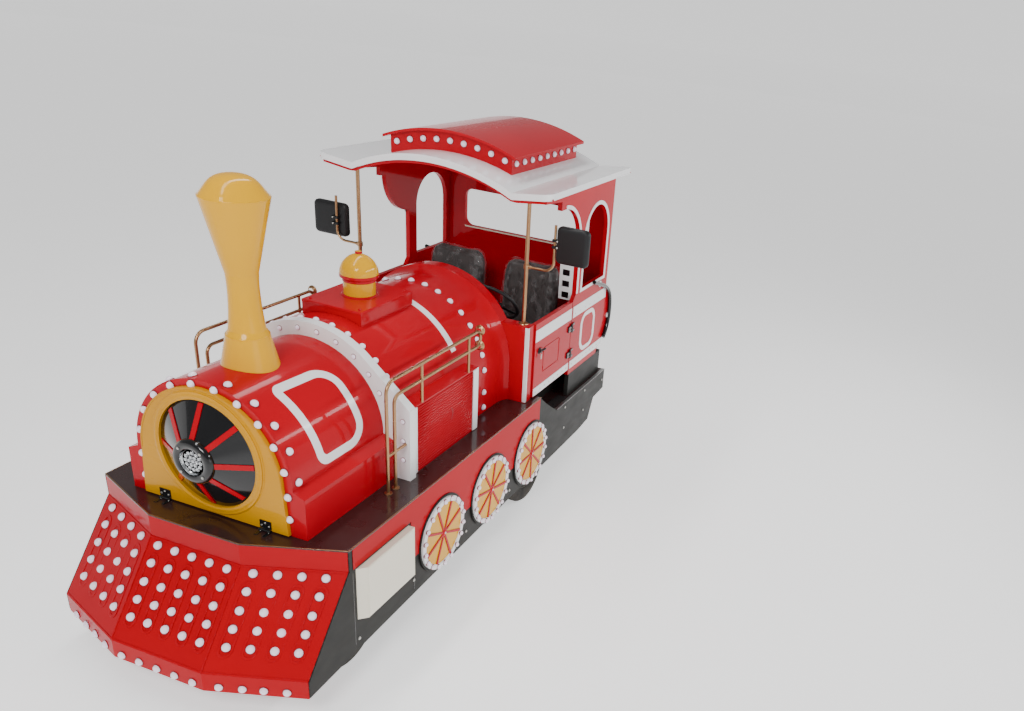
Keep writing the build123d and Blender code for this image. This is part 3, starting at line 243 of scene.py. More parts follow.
def finish_material(name, colour, roughness, drift=0.08, wipe=0.06, edge_wear_highlight=0.2, dust=0.0, dust_top=0.5,
                    bump=0.02, metallic=0.0, coat=0.0, coat_roughness=0.04, ior=1.35):
    """Principled finish fed by the sprayed film, with dust where it is given."""
    material = bpy.data.materials.new(name)
    material.use_nodes = True
    tree = material.node_tree
    shader = tree.nodes["Principled BSDF"]
    shader.inputs["Metallic"].default_value = metallic
    shader.inputs["Coat Weight"].default_value = coat
    shader.inputs["Coat Roughness"].default_value = coat_roughness
    shader.inputs["Coat IOR"].default_value = 1.32
    shader.inputs["IOR"].default_value = ior
    film = place_group(tree, FILM, {"Color": (*colour, 1), "Drift": drift, "Roughness": roughness,
                                    "Wipe": wipe,
                                    "Edge Wear Highlight": edge_wear_highlight})
    last = film
    if dust:
        last = place_group(tree, DUST, {"Top": dust_top, "Amount": dust})
        tree.links.new(film.outputs["Color"], last.inputs["Color"])
        tree.links.new(film.outputs["Roughness"], last.inputs["Roughness"])
    tree.links.new(last.outputs["Color"], shader.inputs["Base Color"])
    tree.links.new(last.outputs["Roughness"], shader.inputs["Roughness"])
    relief = tree.nodes.new("ShaderNodeBump")
    relief.inputs["Strength"].default_value = bump
    relief.inputs["Distance"].default_value = 0.01
    tree.links.new(film.outputs["Height"], relief.inputs["Height"])
    tree.links.new(film.outputs["Normal"], relief.inputs["Normal"])
    tree.links.new(relief.outputs["Normal"], shader.inputs["Normal"])
    return material


def creased_material(name, colour, ridge_highlight_colour, roughness, scale, depth, alpha=None, coat=0.0):
    """Wrinkled sheet or vinyl: colour and gloss follow the creases, the crease tops painted lighter as a
    highlight; alpha makes a thin clear film of it.
    """
    material = bpy.data.materials.new(name)
    material.use_nodes = True
    tree = material.node_tree
    shader = tree.nodes["Principled BSDF"]
    shader.inputs["Coat Weight"].default_value = coat
    creases = place_group(tree, CREASES, {"Scale": scale, "Sharpness": 0.8})
    tree.links.new(mix(tree, creases.outputs["Mask"], colour, ridge_highlight_colour), shader.inputs["Base Color"])
    tree.links.new(spread(tree, creases.outputs["Mask"], 0.0, 1.0, roughness, roughness + 0.2),
                   shader.inputs["Roughness"])
    if alpha:
        tree.links.new(spread(tree, creases.outputs["Mask"], 0.0, 1.0, alpha[0], alpha[1]),
                       shader.inputs["Alpha"])
    relief = tree.nodes.new("ShaderNodeBump")
    relief.inputs["Strength"].default_value = 0.7
    relief.inputs["Distance"].default_value = depth
    tree.links.new(creases.outputs["Height"], relief.inputs["Height"])
    tree.links.new(relief.outputs["Normal"], shader.inputs["Normal"])
    return material


RED = finish_material("red_gloss_paint", (0.48, 0.0, 0.010), 0.22, drift=0.12, edge_wear_highlight=0.10, coat=0.5,
                      ior=1.12)
RED_LOW = finish_material("red_gloss_low_panels", (0.46, 0.0, 0.008), 0.28, dust=0.03, dust_top=0.4,
                          coat=0.35, ior=1.08)
WHITE = finish_material("white_gloss_paint", (0.86, 0.86, 0.87), 0.20, drift=0.04, edge_wear_highlight=0.0, coat=0.6)
YELLOW = finish_material("yellow_gloss_paint", (0.74, 0.37, 0.0), 0.20, drift=0.10, edge_wear_highlight=0.05, coat=0.8,
                         ior=1.15)
DOOR_YELLOW = finish_material("door_yellow_paint", (0.62, 0.28, 0.0), 0.26, drift=0.12, edge_wear_highlight=0.1, coat=0.6,
                              ior=1.15)
DECK = finish_material("deck_black_brown", (0.030, 0.010, 0.010), 0.22, drift=0.2, wipe=0.2, edge_wear_highlight=0.3,
                       dust=0.06,
                       dust_top=1.6, coat=0.8, bump=0.04)
BLACK = finish_material("black_satin_panel", (0.020, 0.020, 0.018), 0.34, drift=0.2, wipe=0.12, edge_wear_highlight=0.3,
                        dust=0.08,
                        dust_top=0.6, bump=0.04, ior=1.22)
GLOSS_BLACK = finish_material("black_gloss_paint", (0.006, 0.006, 0.007), 0.12, drift=0.1, coat=1.0)
CHASSIS = finish_material("chassis_paint", (0.022, 0.022, 0.022), 0.55, drift=0.25, edge_wear_highlight=0.5, dust=0.55,
                          dust_top=0.9,
                          bump=0.10)
CREAM = finish_material("cream_lamp_panel", (0.87, 0.81, 0.66), 0.36, drift=0.05, edge_wear_highlight=0.0, coat=0.2)
BRASS = finish_material("bronzed_tube", (0.46, 0.27, 0.14), 0.24, drift=0.25, wipe=0.22, edge_wear_highlight=0.2,
                        metallic=1.0, bump=0.03)
BRIGHT = finish_material("bright_aluminium", (0.78, 0.78, 0.78), 0.28, drift=0.1, wipe=0.2, metallic=1.0,
                         bump=0.05)
SCREW = finish_material("zinc_screw", (0.55, 0.54, 0.50), 0.35, drift=0.2, edge_wear_highlight=0.4, metallic=1.0)
PLASTIC = finish_material("black_grained_plastic", (0.012, 0.012, 0.013), 0.42, drift=0.1, edge_wear_highlight=0.0,
                          bump=0.22)
RUBBER = finish_material("tyre_rubber", (0.018, 0.018, 0.018), 0.78, drift=0.2, edge_wear_highlight=0.0, dust=0.35,
                         dust_top=0.5,
                         bump=0.16)
MIRROR = finish_material("mirror_glass", (0.80, 0.82, 0.83), 0.02, drift=0.02, wipe=0.02, edge_wear_highlight=0.0,
                         metallic=1.0, bump=0.0)
BULB = finish_material("bulb_dome", (0.90, 0.80, 0.90), 0.22, drift=0.10, edge_wear_highlight=0.0, coat=0.8, bump=0.0)
# Dark red for the bulb sockets, also used as the painted shade of the finger pull's recess.
SOCKET_AND_SHADE = finish_material("bulb_socket_and_recess_shade", (0.20, 0.004, 0.010), 0.4, drift=0.1, edge_wear_highlight=0.0)
LENS = finish_material("lamp_reflector", (0.66, 0.68, 0.70), 0.12, drift=0.35, wipe=0.2, edge_wear_highlight=0.0,
                       metallic=1.0)
# Crease tops of the vinyl are painted a little lighter: a painted sheen on its wrinkles.
VINYL = creased_material("charcoal_vinyl", (0.030, 0.025, 0.024), (0.055, 0.048, 0.046), 0.42, 9.0, 0.0012)
# The clear wrap's crease tops are painted near white and more opaque: painted highlights on its folds.
FILM_WRAP = creased_material("clear_seat_wrap", (0.30, 0.29, 0.29), (0.85, 0.85, 0.86), 0.10, 7.0, 0.004,
                             alpha=(0.02, 0.12), coat=1.0)


def bulb_glow():
    """Bulb domes are translucent plastic: a faint glow of their own over the whole dome."""
    shader = BULB.node_tree.nodes["Principled BSDF"]
    shader.inputs["Emission Color"].default_value = (0.86, 0.74, 0.90, 1)
    shader.inputs["Emission Strength"].default_value = 0.18
    shader.inputs["Subsurface Weight"].default_value = 0.0


bulb_glow()


# ---- mesh tools -------------------------------------------------------------------
def frame_of(axis):
    """Two unit vectors square to the axis."""
    axis = axis.normalized()
    side = axis.cross(Z)
    if side.length < 0.1:
        side = axis.cross(X)
    side.normalize()
    return side, axis.cross(side)


def lathe(bm, profile, at, axis, steps=32, material=0, materials=None):
    """Turned shape from (radius, height along the axis) points; materials gives one index a band."""
    across, up = frame_of(axis)
    axis = axis.normalized()
    rings = []
    for radius, height in profile:
        middle = at + axis * height
        if radius < 1e-6:
            rings.append([bm.verts.new(middle)])
            continue
        turns = [2 * math.pi * k / steps for k in range(steps)]
        rings.append([bm.verts.new(middle + (across * math.cos(t) + up * math.sin(t)) * radius)
                      for t in turns])
    for band, (low, high) in enumerate(zip(rings, rings[1:])):
        index = materials[band] if materials else material
        for k in range(steps):
            if len(low) == 1 and len(high) == 1:
                continue
            after = (k + 1) % steps
            corners = [low[k % len(low)], low[after % len(low)], high[after % len(high)],
                       high[k % len(high)]]
            unique = list(dict.fromkeys(corners))
            bm.faces.new(unique).material_index = index


def tube(bm, points, radius, sides=12, material=0, closed=False):
    """Round bar along the points, with its frame carried along without twist."""
    count = len(points)
    rings = []
    across = None
    for k, point in enumerate(points):
        before = points[k - 1] if k or closed else point
        after = points[(k + 1) % count] if k + 1 < count or closed else point
        along = (after - before).normalized()
        if across is None:
            across = frame_of(along)[0]
        across = (across - along * across.dot(along)).normalized()
        up = along.cross(across)
        turns = [2 * math.pi * j / sides for j in range(sides)]
        rings.append([bm.verts.new(point + (across * math.cos(t) + up * math.sin(t)) * radius)
                      for t in turns])
    last = count if closed else count - 1
    for k in range(last):
        low, high = rings[k], rings[(k + 1) % count]
        for j in range(sides):
            other = (j + 1) % sides
            bm.faces.new((low[j], low[other], high[other], high[j])).material_index = material
    if not closed:
        bm.faces.new(rings[0][::-1]).material_index = material
        bm.faces.new(rings[-1]).material_index = material


def grid(bm, rows, material=0, close_rows=False):
    """Quads over a table of points; close_rows joins each row's end to its start."""
    verts = [[bm.verts.new(p) for p in row] for row in rows]
    for low, high in zip(verts, verts[1:]):
        count = len(low) if close_rows else len(low) - 1
        for k in range(count):
            after = (k + 1) % len(low)
            bm.faces.new((low[k], low[after], high[after], high[k])).material_index = material
    return verts


def block(bm, low, high, material=0, ease=0.0):
    """Rectangular bar between two corners, its long edges eased by a small bevel."""
    made = bmesh.ops.create_cube(bm, size=1.0)["verts"]
    for v in made:
        v.co = Vector(low[i] + (v.co[i] + 0.5) * (high[i] - low[i]) for i in range(3))
    faces = {f for v in made for f in v.link_faces}
    for f in faces:
        f.material_index = material
    if ease:
        edges = list({e for v in made for e in v.link_edges})
        bmesh.ops.bevel(bm, geom=edges, offset=ease, segments=2, affect="EDGES", profile=0.7,
                        material=material)


def side_block(bm, side, xs, ys, zs, material=0, ease=0.0):
    """Bar on one side of the vehicle: ys are counted outwards from the centre line."""
    low, high = sorted((side * ys[0], side * ys[1]))
    block(bm, (xs[0], low, zs[0]), (xs[1], high, zs[1]), material, ease)


def slab(bm, outline, place, low, high, material=0, ease=0.0):
    """Plate with this flat outline; place(u, v, height) gives points in space."""
    under = [bm.verts.new(place(u, v, low)) for u, v in outline]
    if not ease:
        over = [bm.verts.new(place(u, v, high)) for u, v in outline]
        loops = [under, over]
    else:
        shoulder = [bm.verts.new(place(u, v, high - ease)) for u, v in outline]
        inset = offset_loop(outline, -ease, True)
        over = [bm.verts.new(place(u, v, high)) for u, v in inset]
        loops = [under, shoulder, over]
    count = len(outline)
    for lower, upper in zip(loops, loops[1:]):
        for k in range(count):
            after = (k + 1) % count
            bm.faces.new((lower[k], lower[after], upper[after], upper[k])).material_index = material
    bm.faces.new(loops[-1]).material_index = material
    bm.faces.new(under[::-1]).material_index = material


def offset_loop(points, distance, closed):
    """Points moved sideways by distance, outwards for a loop that runs anticlockwise."""
    count = len(points)
    moved = []
    for k, (u, v) in enumerate(points):
        before = points[k - 1] if k or closed else points[k]
        after = points[(k + 1) % count] if k + 1 < count or closed else points[k]
        first = Vector((u - before[0], v - before[1]))
        second = Vector((after[0] - u, after[1] - v))
        normals = [Vector((d.y, -d.x)).normalized() for d in (first, second) if d.length > 1e-9]
        normal = sum(normals, Vector((0, 0)))
        scale = distance / max(0.35, (normal.length / len(normals)) ** 2) / len(normals)
        moved.append((u + normal.x * scale, v + normal.y * scale))
    return moved


def rounded_loop(corners, radii, step=0.012):
    """Closed outline through rounded corners, anticlockwise, with points about a step apart."""
    points = []
    count = len(corners)
    for k, corner in enumerate(corners):
        here = Vector(corner)
        back = (Vector(corners[k - 1]) - here).normalized()
        ahead = (Vector(corners[(k + 1) % count]) - here).normalized()
        half = back.angle(ahead) / 2
        radius = max(radii[k], 1e-4)
        reach = radius / math.tan(half)
        centre = here + (back + ahead).normalized() * radius / math.sin(half)
        start, end = here + back * reach - centre, here + ahead * reach - centre
        turn = math.pi - 2 * half
        steps = max(2, round(radius * turn / step * 2))
        for j in range(steps + 1):
            t = j / steps
            spoke = (start * math.sin((1 - t) * turn) + end * math.sin(t * turn)) / math.sin(turn)
            points.append(centre + spoke)
    filled = []
    for k, point in enumerate(points):
        after = points[(k + 1) % len(points)]
        pieces = max(1, round((after - point).length / step))
        filled += [point.lerp(after, j / pieces) for j in range(pieces)]
    return [(p.x, p.y) for p in filled]


def strip(bm, path, width, place, lift, closed=True, across=2, material=0):
    """Raised flat strip along a path drawn on a surface; place(u, v, height) lays it on."""
    def lanes(height):
        return [[place(u, v, height) for u, v in offset_loop(path, width * (j / across - 0.5), closed)]
                for j in range(across + 1)]
    top, under = lanes(lift), lanes(0.0)
    rows = [under[0]] + top + [under[-1]]
    verts = grid(bm, rows, material, closed)
    if not closed:
        for end in (0, -1):
            column = [row[end] for row in verts]
            bm.faces.new(column if end else column[::-1]).material_index = material


def make_piece(name, bm, materials, body="root", replaces=(), smooth=38.0):
    """Turn the bmesh into a piece: clean it, shade it, give it its materials and body, and hide the parts
    it replaces.
    """
    bmesh.ops.remove_doubles(bm, verts=bm.verts, dist=1e-6)
    bmesh.ops.recalc_face_normals(bm, faces=bm.faces)
    mesh = bpy.data.meshes.new(name)
    bm.to_mesh(mesh)
    bm.free()
    piece = bpy.data.objects.new(name, mesh)
    bpy.context.scene.collection.objects.link(piece)
    for material in materials:
        mesh.materials.append(material)
    mesh.shade_smooth()
    mesh.set_sharp_from_angle(angle=math.radians(smooth))
    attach(piece, body)
    if replaces:
        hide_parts(*replaces)
    return piece


def flat_y(side, y):
    """Place on an upright side face: u along X, v up, height outwards."""
    return lambda u, v, h: Vector((u, side * (y + h), v))


def flat_x(x, facing=1):
    """Place on an upright face across the vehicle: u along Y, v up, height forwards or back."""
    return lambda u, v, h: Vector((x + facing * h, u, v))


def flat_z(z):
    """Place on a level face: u along X, v along Y, height upwards."""
    return lambda u, v, h: Vector((u, v, z + h))


def on_barrel(radius, side):
    """Place on a boiler barrel: u along X, v is the arc length down from its top."""
    def place(u, v, h):
        turn = v / radius
        return Vector((u, side * (radius + h) * math.sin(turn), boiler_z + (radius + h) * math.cos(turn)))
    return place


# ---- bulbs ------------------------------------------------------------------------
def bulb_piece(name, spots, radius, body="root", steps=12):
    """Row of bulbs: each spot is a point on a surface and the way it faces. One joined piece."""
    bm = bmesh.new()
    dome = [(radius * 1.18, -0.003), (radius * 1.18, radius * 0.10), (radius * 1.0, radius * 0.16)]
    dome += [(radius * math.cos(t), radius * (0.16 + 0.86 * math.sin(t))) for t in (0.32, 0.66, 1.0, 1.3)]
    dome.append((0.0, radius * 1.03))
    bands = [1, 1] + [0] * (len(dome) - 2)
    for at, facing in spots:
        lathe(bm, dome, at, facing, steps, materials=bands)
    return make_piece(name, bm, [BULB, SOCKET_AND_SHADE], body)


# ---- camera, floor and light --------------------------------------------------------
def set_camera():
    """Camera high off the front left corner, looking down along the train."""
    yaw, pitch, roll = math.radians(-164.24), math.radians(-26.56), math.radians(7.369)
    look = Vector((math.cos(pitch) * math.cos(yaw), math.cos(pitch) * math.sin(yaw), math.sin(pitch)))
    level = look.cross(Z).normalized()
    upright = level.cross(look)
    right = math.cos(roll) * level + math.sin(roll) * upright
    above = math.cos(roll) * upright - math.sin(roll) * level
    data = bpy.data.cameras.new("main_camera")
    camera = bpy.data.objects.new("main_camera", data)
    bpy.context.scene.collection.objects.link(camera)
    basis = Matrix((right, above, -look)).transposed().to_4x4()
    camera.matrix_world = Matrix.Translation((4.163, 2.818, 3.145)) @ basis
    data.sensor_width = 36.0
    data.lens = 30.58
    data.shift_x = -0.1368
    data.shift_y = 0.0848
    bpy.context.scene.camera = camera


def set_light():
    """White studio: an even sky, one long overhead strip to the left, a key, and a low fill."""
    world = bpy.data.worlds.new("studio")
    bpy.context.scene.world = world
    world.use_nodes = True
    sky = world.node_tree.nodes["Background"]
    sky.inputs["Color"].default_value = (1.0, 1.0, 1.0, 1)
    sky.inputs["Strength"].default_value = 0.30
    lamps = (
        ("long_strip", (-1.5, 4.6, 3.3), (0.0, 0.0, 1.2), 7.0, 0.35, 130.0),
        ("ceiling_strip", (0.5, -0.6, 5.2), (0.5, 0.0, 1.0), 6.0, 0.5, 120.0),
        ("key", (5.5, 1.5, 5.0), (0.3, 0.0, 0.9), 2.4, 1.6, 230.0),
        ("fill", (3.0, 6.0, 1.6), (-0.2, 0.4, 0.8), 3.0, 2.0, 25.0),
    )
    for name, at, aim, width, height, watts in lamps:
        data = bpy.data.lights.new(name, "AREA")
        data.shape = "RECTANGLE"
        data.size, data.size_y, data.energy = width, height, watts
        lamp = bpy.data.objects.new(name, data)
        bpy.context.scene.collection.objects.link(lamp)
        look = (Vector(aim) - Vector(at)).normalized()
        across = (X - look * look.x).normalized() if abs(look.x) < 0.7 else look.cross(Z).normalized()
        basis = Matrix((across, (-look).cross(across), -look)).transposed().to_4x4()
        lamp.matrix_world = Matrix.Translation(at) @ basis


def lay_floor():
    """Plain pale floor."""
    bm = bmesh.new()
    lathe(bm, [(0.0, 0.0), (40.0, 0.0), (50.0, 1.2), (60.0, 8.0)], Vector((0, 0, 0)), Z, 64)
    mesh = bpy.data.meshes.new("studio_floor")
    bm.to_mesh(mesh)
    bm.free()
    floor = bpy.data.objects.new("studio_floor", mesh)
    bpy.context.scene.collection.objects.link(floor)
    pale = finish_material("pale_floor", (0.88, 0.88, 0.88), 0.7, drift=0.02, wipe=0.05, edge_wear_highlight=0.0)
    pale.node_tree.nodes["Principled BSDF"].inputs["Emission Color"].default_value = (1, 1, 1, 1)
    pale.node_tree.nodes["Principled BSDF"].inputs["Emission Strength"].default_value = 0.75
    mesh.materials.append(pale)


# ---- nose ---------------------------------------------------------------------------
nose_half, facet_back, slope_run = 0.252, 0.177, 0.314
slope_foot_z, slope_top_z = 0.279, 0.682
bulb_depth = 0.0195
foot_face_x = foot_hi.x - bulb_depth
rise = slope_top_z - slope_foot_z
back_top = facet_back / (body_y - nose_half)
back_foot = (facet_back - bulb_depth) / (body_y - nose_half)


def set_foot_back():
    """Set the nose of the cowcatcher's foot band back by the depth of the bulbs that stand on it."""
    node = bpy.data.objects["cowcatcher"]
    group = node.vertex_groups.new(name="nose_foot")
    places = [(v.index, node.matrix_world @ v.co) for v in node.data.vertices]
    low = [index for index, p in places
           if p.z < slope_foot_z + 0.006 and abs(p.y) < nose_half + 0.008 and p.x > foot_hi.x - 0.02]
    group.add(low, 1.0, "REPLACE")
    push = node.modifiers.new("foot_set_back", "DISPLACE")
    push.direction, push.space, push.mid_level = "X", "GLOBAL", 0.0
    push.strength, push.vertex_group = -bulb_depth, "nose_foot"


def facet_place(facet):
    """Place on a cowcatcher facet (-1, 0 or 1): u along Y, v up, height square to the sheet."""
    normal = Vector((1.0, facet * back_top, slope_run / rise)).normalized()

    def place(u, v, h):
        beyond = max(0.0, facet * u - nose_half) * abs(facet)
        foot_x, top_x = foot_face_x - beyond * back_foot, foot_hi.x - slope_run - beyond * back_top
        share = (v - slope_foot_z) / rise
        return Vector((foot_x + (top_x - foot_x) * share, u, v)) + normal * h
    return place, normal


def dress_cowcatcher():
    """Rows of bulbs on the sloping facets and along the foot, and a pressed slot down each column."""
    rows = [0.654, 0.586, 0.515, 0.447, 0.380]
    columns = [(0, y) for y in (-0.195, -0.0975, 0.0, 0.0975, 0.195)]
    columns += [(s, s * y) for s in (1, -1) for y in (0.315, 0.415, 0.515, 0.614)]
    spots, bm = [], bmesh.new()
    for facet, y in columns:
        place, normal = facet_place(facet)
        spots += [(place(y, z, 0.0), normal) for z in rows]
        low, high, half = rows[-1] - 0.035, rows[1] + 0.034, 0.027
        path = rounded_loop([(y - half, low), (y + half, low), (y + half, high), (y - half, high)],
                            [half * 0.98] * 4)
        strip(bm, path, 0.0085, place, 0.0035, across=2)
    make_piece("cowcatcher_pressed_slots", bm, [RED_LOW], smooth=60)
    bm = bmesh.new()
    for facet, ys in ((0, (-nose_half, nose_half)), (1, (nose_half, foot_hi.y)),
                      (-1, (-foot_hi.y, -nose_half))):
        place, _ = facet_place(facet)
        for z in (slope_foot_z + 0.004, slope_top_z - 0.003):
            strip(bm, [(ys[0], z), (ys[1], z)], 0.007, place, 0.0025, closed=False)
    place, _ = facet_place(0)
    for y in (nose_half, -nose_half):
        strip(bm, [(y, slope_foot_z), (y, slope_top_z)], 0.006, place, 0.003, closed=False)
    make_piece("cowcatcher_creases", bm, [RED_LOW])
    bulb_piece("cowcatcher_bulbs", spots, 0.0200)
    foot_row_z = 0.212
    foot = [(Vector((foot_face_x, y, foot_row_z)), X) for y in (-0.2, -0.1, 0.0, 0.1, 0.2)]
    slant = Vector((1.0, back_foot, 0)).normalized()
    for side in (1, -1):
        for y in (0.32, 0.418, 0.507, 0.604):
            x = foot_face_x - (y - nose_half) * back_foot
            foot.append((Vector((x, side * y, foot_row_z)), Vector((slant.x, side * slant.y, 0))))
    bulb_piece("cowcatcher_foot_bulbs", foot, big_bulb)


def dress_deck():
    """Bronzed line round the deck's edge, bright moulding along the step, and rubber ribs to tread on."""
    bm = bmesh.new()
    edge = [(deck_lo.x, body_y), (foot_hi.x - slope_run - facet_back, body_y),
            (foot_hi.x - slope_run, nose_half),
            (foot_hi.x - slope_run, -nose_half), (foot_hi.x - slope_run - facet_back, -body_y),
            (deck_lo.x, -body_y)]
    strip(bm, offset_loop(edge, 0.0035, False), 0.005, flat_z(deck_z - 0.0005), 0.0015, closed=False)
    make_piece("deck_edge_line", bm, [BRASS])
    floor_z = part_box("lower_panels")[0].z
    bm = bmesh.new()
    for side in (1, -1):
        y = side * (body_y - 0.012)
        strip(bm, [(-1.735, y), (-0.864, y)], 0.022, flat_z(floor_z), 0.002, closed=False)
    make_piece("step_edge_moulding", bm, [BRIGHT])
    bm = bmesh.new()
    for side in (1, -1):
        for k in range(9):
            y = side * (body_y - 0.035 - 0.008 * k)
            strip(bm, [(-1.09, y), (-0.87, y)], 0.004, flat_z(floor_z), 0.002, closed=False)
    make_piece("step_tread_ribs", bm, [PLASTIC])


def dress_skirts():
    """A raised face on each cream lamp panel, and the seams and screws of the skirts."""
    lamp_a, lamp_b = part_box("light_panels")
    bm = bmesh.new()
    for side in (1, -1):
        rear, front, low, high = lamp_a.x + 0.022, lamp_b.x - 0.040, lamp_a.z + 0.004, lamp_b.z - 0.004
        corners = [(rear, low), (front, low), (front, high), (rear, high)]
        face = rounded_loop(corners[::-1 if side < 0 else 1], [0.004] * 4, 0.05)
        slab(bm, face, flat_y(side, lamp_b.y), 0.0, 0.004, 0, 0.003)
    make_piece("lamp_panel_faces", bm, [CREAM])
    bm = bmesh.new()
    skirt_x, skirt_y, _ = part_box("side_skirts")[1]
    for side in (1, -1):
        for x in (skirt_x - 0.004, 0.90):
            side_block(bm, side, (x - 0.003, x + 0.001), (skirt_y, skirt_y + 0.0012),
                       (0.24, 0.44 if x < 1 else 0.66))
        for x, z in ((1.37, 0.26), (0.90, 0.30), (0.36, 0.30), (-0.18, 0.30), (-1.00, 0.40), (-1.35, 0.40),
                     (-1.70, 0.52),
                     (-1.0, 0.56), (-1.35, 0.56)):
            lathe(bm, [(0.009, 0), (0.009, 0.002), (0.006, 0.005), (0, 0.006)],
                  Vector((x, side * skirt_y, z)), Y * side, 12, 1)
    make_piece("skirt_seams_and_screws", bm, [GLOSS_BLACK, SCREW])


def dress_dummy_wheels():
    """Painted show wheels: yellow disc, eight red spokes and hub, white scalloped rim full of bulbs."""
    lo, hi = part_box("dummy_wheels")
    radius = (hi.z - lo.z) / 2
    z = (hi.z + lo.z) / 2
    reach = (hi.x - lo.x - 2 * radius) / 2
    middle = (hi.x + lo.x) / 2
    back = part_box("dummy_wheel_backs")[1].y
    bm, spots = bmesh.new(), []
    for side in (1, -1):
        for k in range(3):
            at = Vector((middle + reach * (k - 1), side * back, z))
            facing = Y * side
            lathe(bm, [(0, 0.002), (0, 0.009), (radius - 0.028, 0.009), (radius - 0.028, 0.002)], at,
                  facing, 64, 0)
            lathe(bm, [(radius - 0.030, 0.0), (radius - 0.030, 0.011), (radius - 0.024, 0.016),
                       (radius - 0.006, 0.016),
                       (radius, 0.012), (radius, 0.0)], at, facing, 64, 1)
            lathe(bm, [(0.0, 0.018), (0.010, 0.018), (0.022, 0.014), (0.026, 0.009)], at, facing, 32, 2)
            lathe(bm, [(0.0, 0.020), (0.006, 0.020), (0.007, 0.017)], at, facing, 12, 3)
            for spoke in range(8):
                turn = math.radians(45 * spoke + 12 * k)
                along = Vector((math.cos(turn), 0, math.sin(turn)))
                across = Vector((-math.sin(turn), 0, math.cos(turn)))
                def place(u, v, h, at=at, along=along, across=across, facing=facing):
                    return at + along * u + across * v + facing * (0.009 + h)
                slab(bm, [(0.015, -0.0055), (radius - 0.029, -0.0075), (radius - 0.029, 0.0075),
                          (0.015, 0.0055)],
                     place, -0.001, 0.005, 2)
            for bulb in range(18):
                turn = 2 * math.pi * (bulb + 0.5) / 18
                spot = at + Vector((math.cos(turn), 0, math.sin(turn))) * (radius - 0.014) + facing * 0.0155
                spots.append((spot, facing))
    make_piece("dummy_wheel_faces", bm, [YELLOW, WHITE, RED, SCREW],
               replaces=("dummy_wheels",))
    bulb_piece("dummy_wheel_bulbs", spots, 0.0135, steps=10)


# ---- boiler -------------------------------------------------------------------------
def ring_spots(x, radius, degrees, facing=None):
    """Bulb places round the boiler at these angles from its top, facing along X or square to the barrel."""
    spots = []
    for turn in degrees:
        for side in ((1, -1) if turn else (1,)):
            t = math.radians(turn)
            out = Vector((0, side * math.sin(t), math.cos(t)))
            at = Vector((x, 0, boiler_z)) + out * radius
            spots.append((at, facing or out))
    return spots


def dress_barrel():
    """Bulb rings, the white rounded outlines on both sides, and the seams of the front barrel and hoop."""
    face = barrel_hi.x
    spots = ring_spots(face, front_r - 0.021, (8.6, 26, 43.5, 60, 77, 94.6), X)
    spots += [(Vector((face, s * 0.408, 0.886)), X) for s in (1, -1)]
    spots += ring_spots(face - 0.043, front_r, (12.7, 32, 49, 66, 86))
    bulb_piece("smokebox_bulbs", spots, big_bulb)
    spots = ring_spots(hoop_hi.x, (hoop_r + front_r) / 2, (7, 21, 35, 49, 62), X)
    spots += [(Vector((hoop_hi.x, s * 0.545, z)), X) for s in (1, -1) for z in (1.13, 1.02, 0.91)]
    bulb_piece("hoop_face_bulbs", spots, 0.0125)
    spots = ring_spots(hoop_lo.x - 0.018, rear_r, (0, 11, 22, 33, 44, 55))
    bulb_piece("hoop_rear_bulbs", spots, 0.016)
    rear_ring_x = -0.175
    spots = ring_spots(rear_ring_x, rear_r, (0, 10.5, 21, 31.5, 42, 52.5, 63, 74, 85))
    spots += [(Vector((rear_ring_x, s * rear_r, z)), Y * s) for s in (1, -1) for z in (0.935, 0.835)]
    bulb_piece("rear_barrel_bulbs", spots, big_bulb)
    bm = bmesh.new()
    for side in (1, -1):
        corners = [(0.918, 0.240), (1.255, 0.225), (1.225, 0.625), (0.918, 0.625)]
        corners = corners if side > 0 else corners[::-1]
        radii = [0.11, 0.028, 0.05, 0.10] if side > 0 else [0.10, 0.05, 0.028, 0.11]
        strip(bm, rounded_loop(corners, radii, 0.014), 0.046, on_barrel(front_r, side), 0.0012, across=6)
    make_piece("barrel_white_outlines", bm, [WHITE], smooth=60)
    bm = bmesh.new()
    hoop = [(0.078, rear_r * math.radians(a)) for a in range(-62, 63, 2)]
    strip(bm, hoop, 0.046, on_barrel(rear_r, 1), 0.0015, closed=False, across=3)
    make_piece("barrel_white_band", bm, [WHITE], smooth=60)
    bm = bmesh.new()
    hoop = [(face - 0.0035, front_r * math.radians(a)) for a in range(-90, 91, 3)]
    strip(bm, hoop, 0.007, on_barrel(front_r, 1), 0.0025, closed=False)
    for side in (1, -1):
        z = barrel_lo.z + 0.004
        strip(bm, [(hoop_hi.x, z), (face, z)], 0.006, flat_y(side, barrel_hi.y), 0.002, closed=False)
    make_piece("barrel_rolled_edges", bm, [RED], smooth=60)


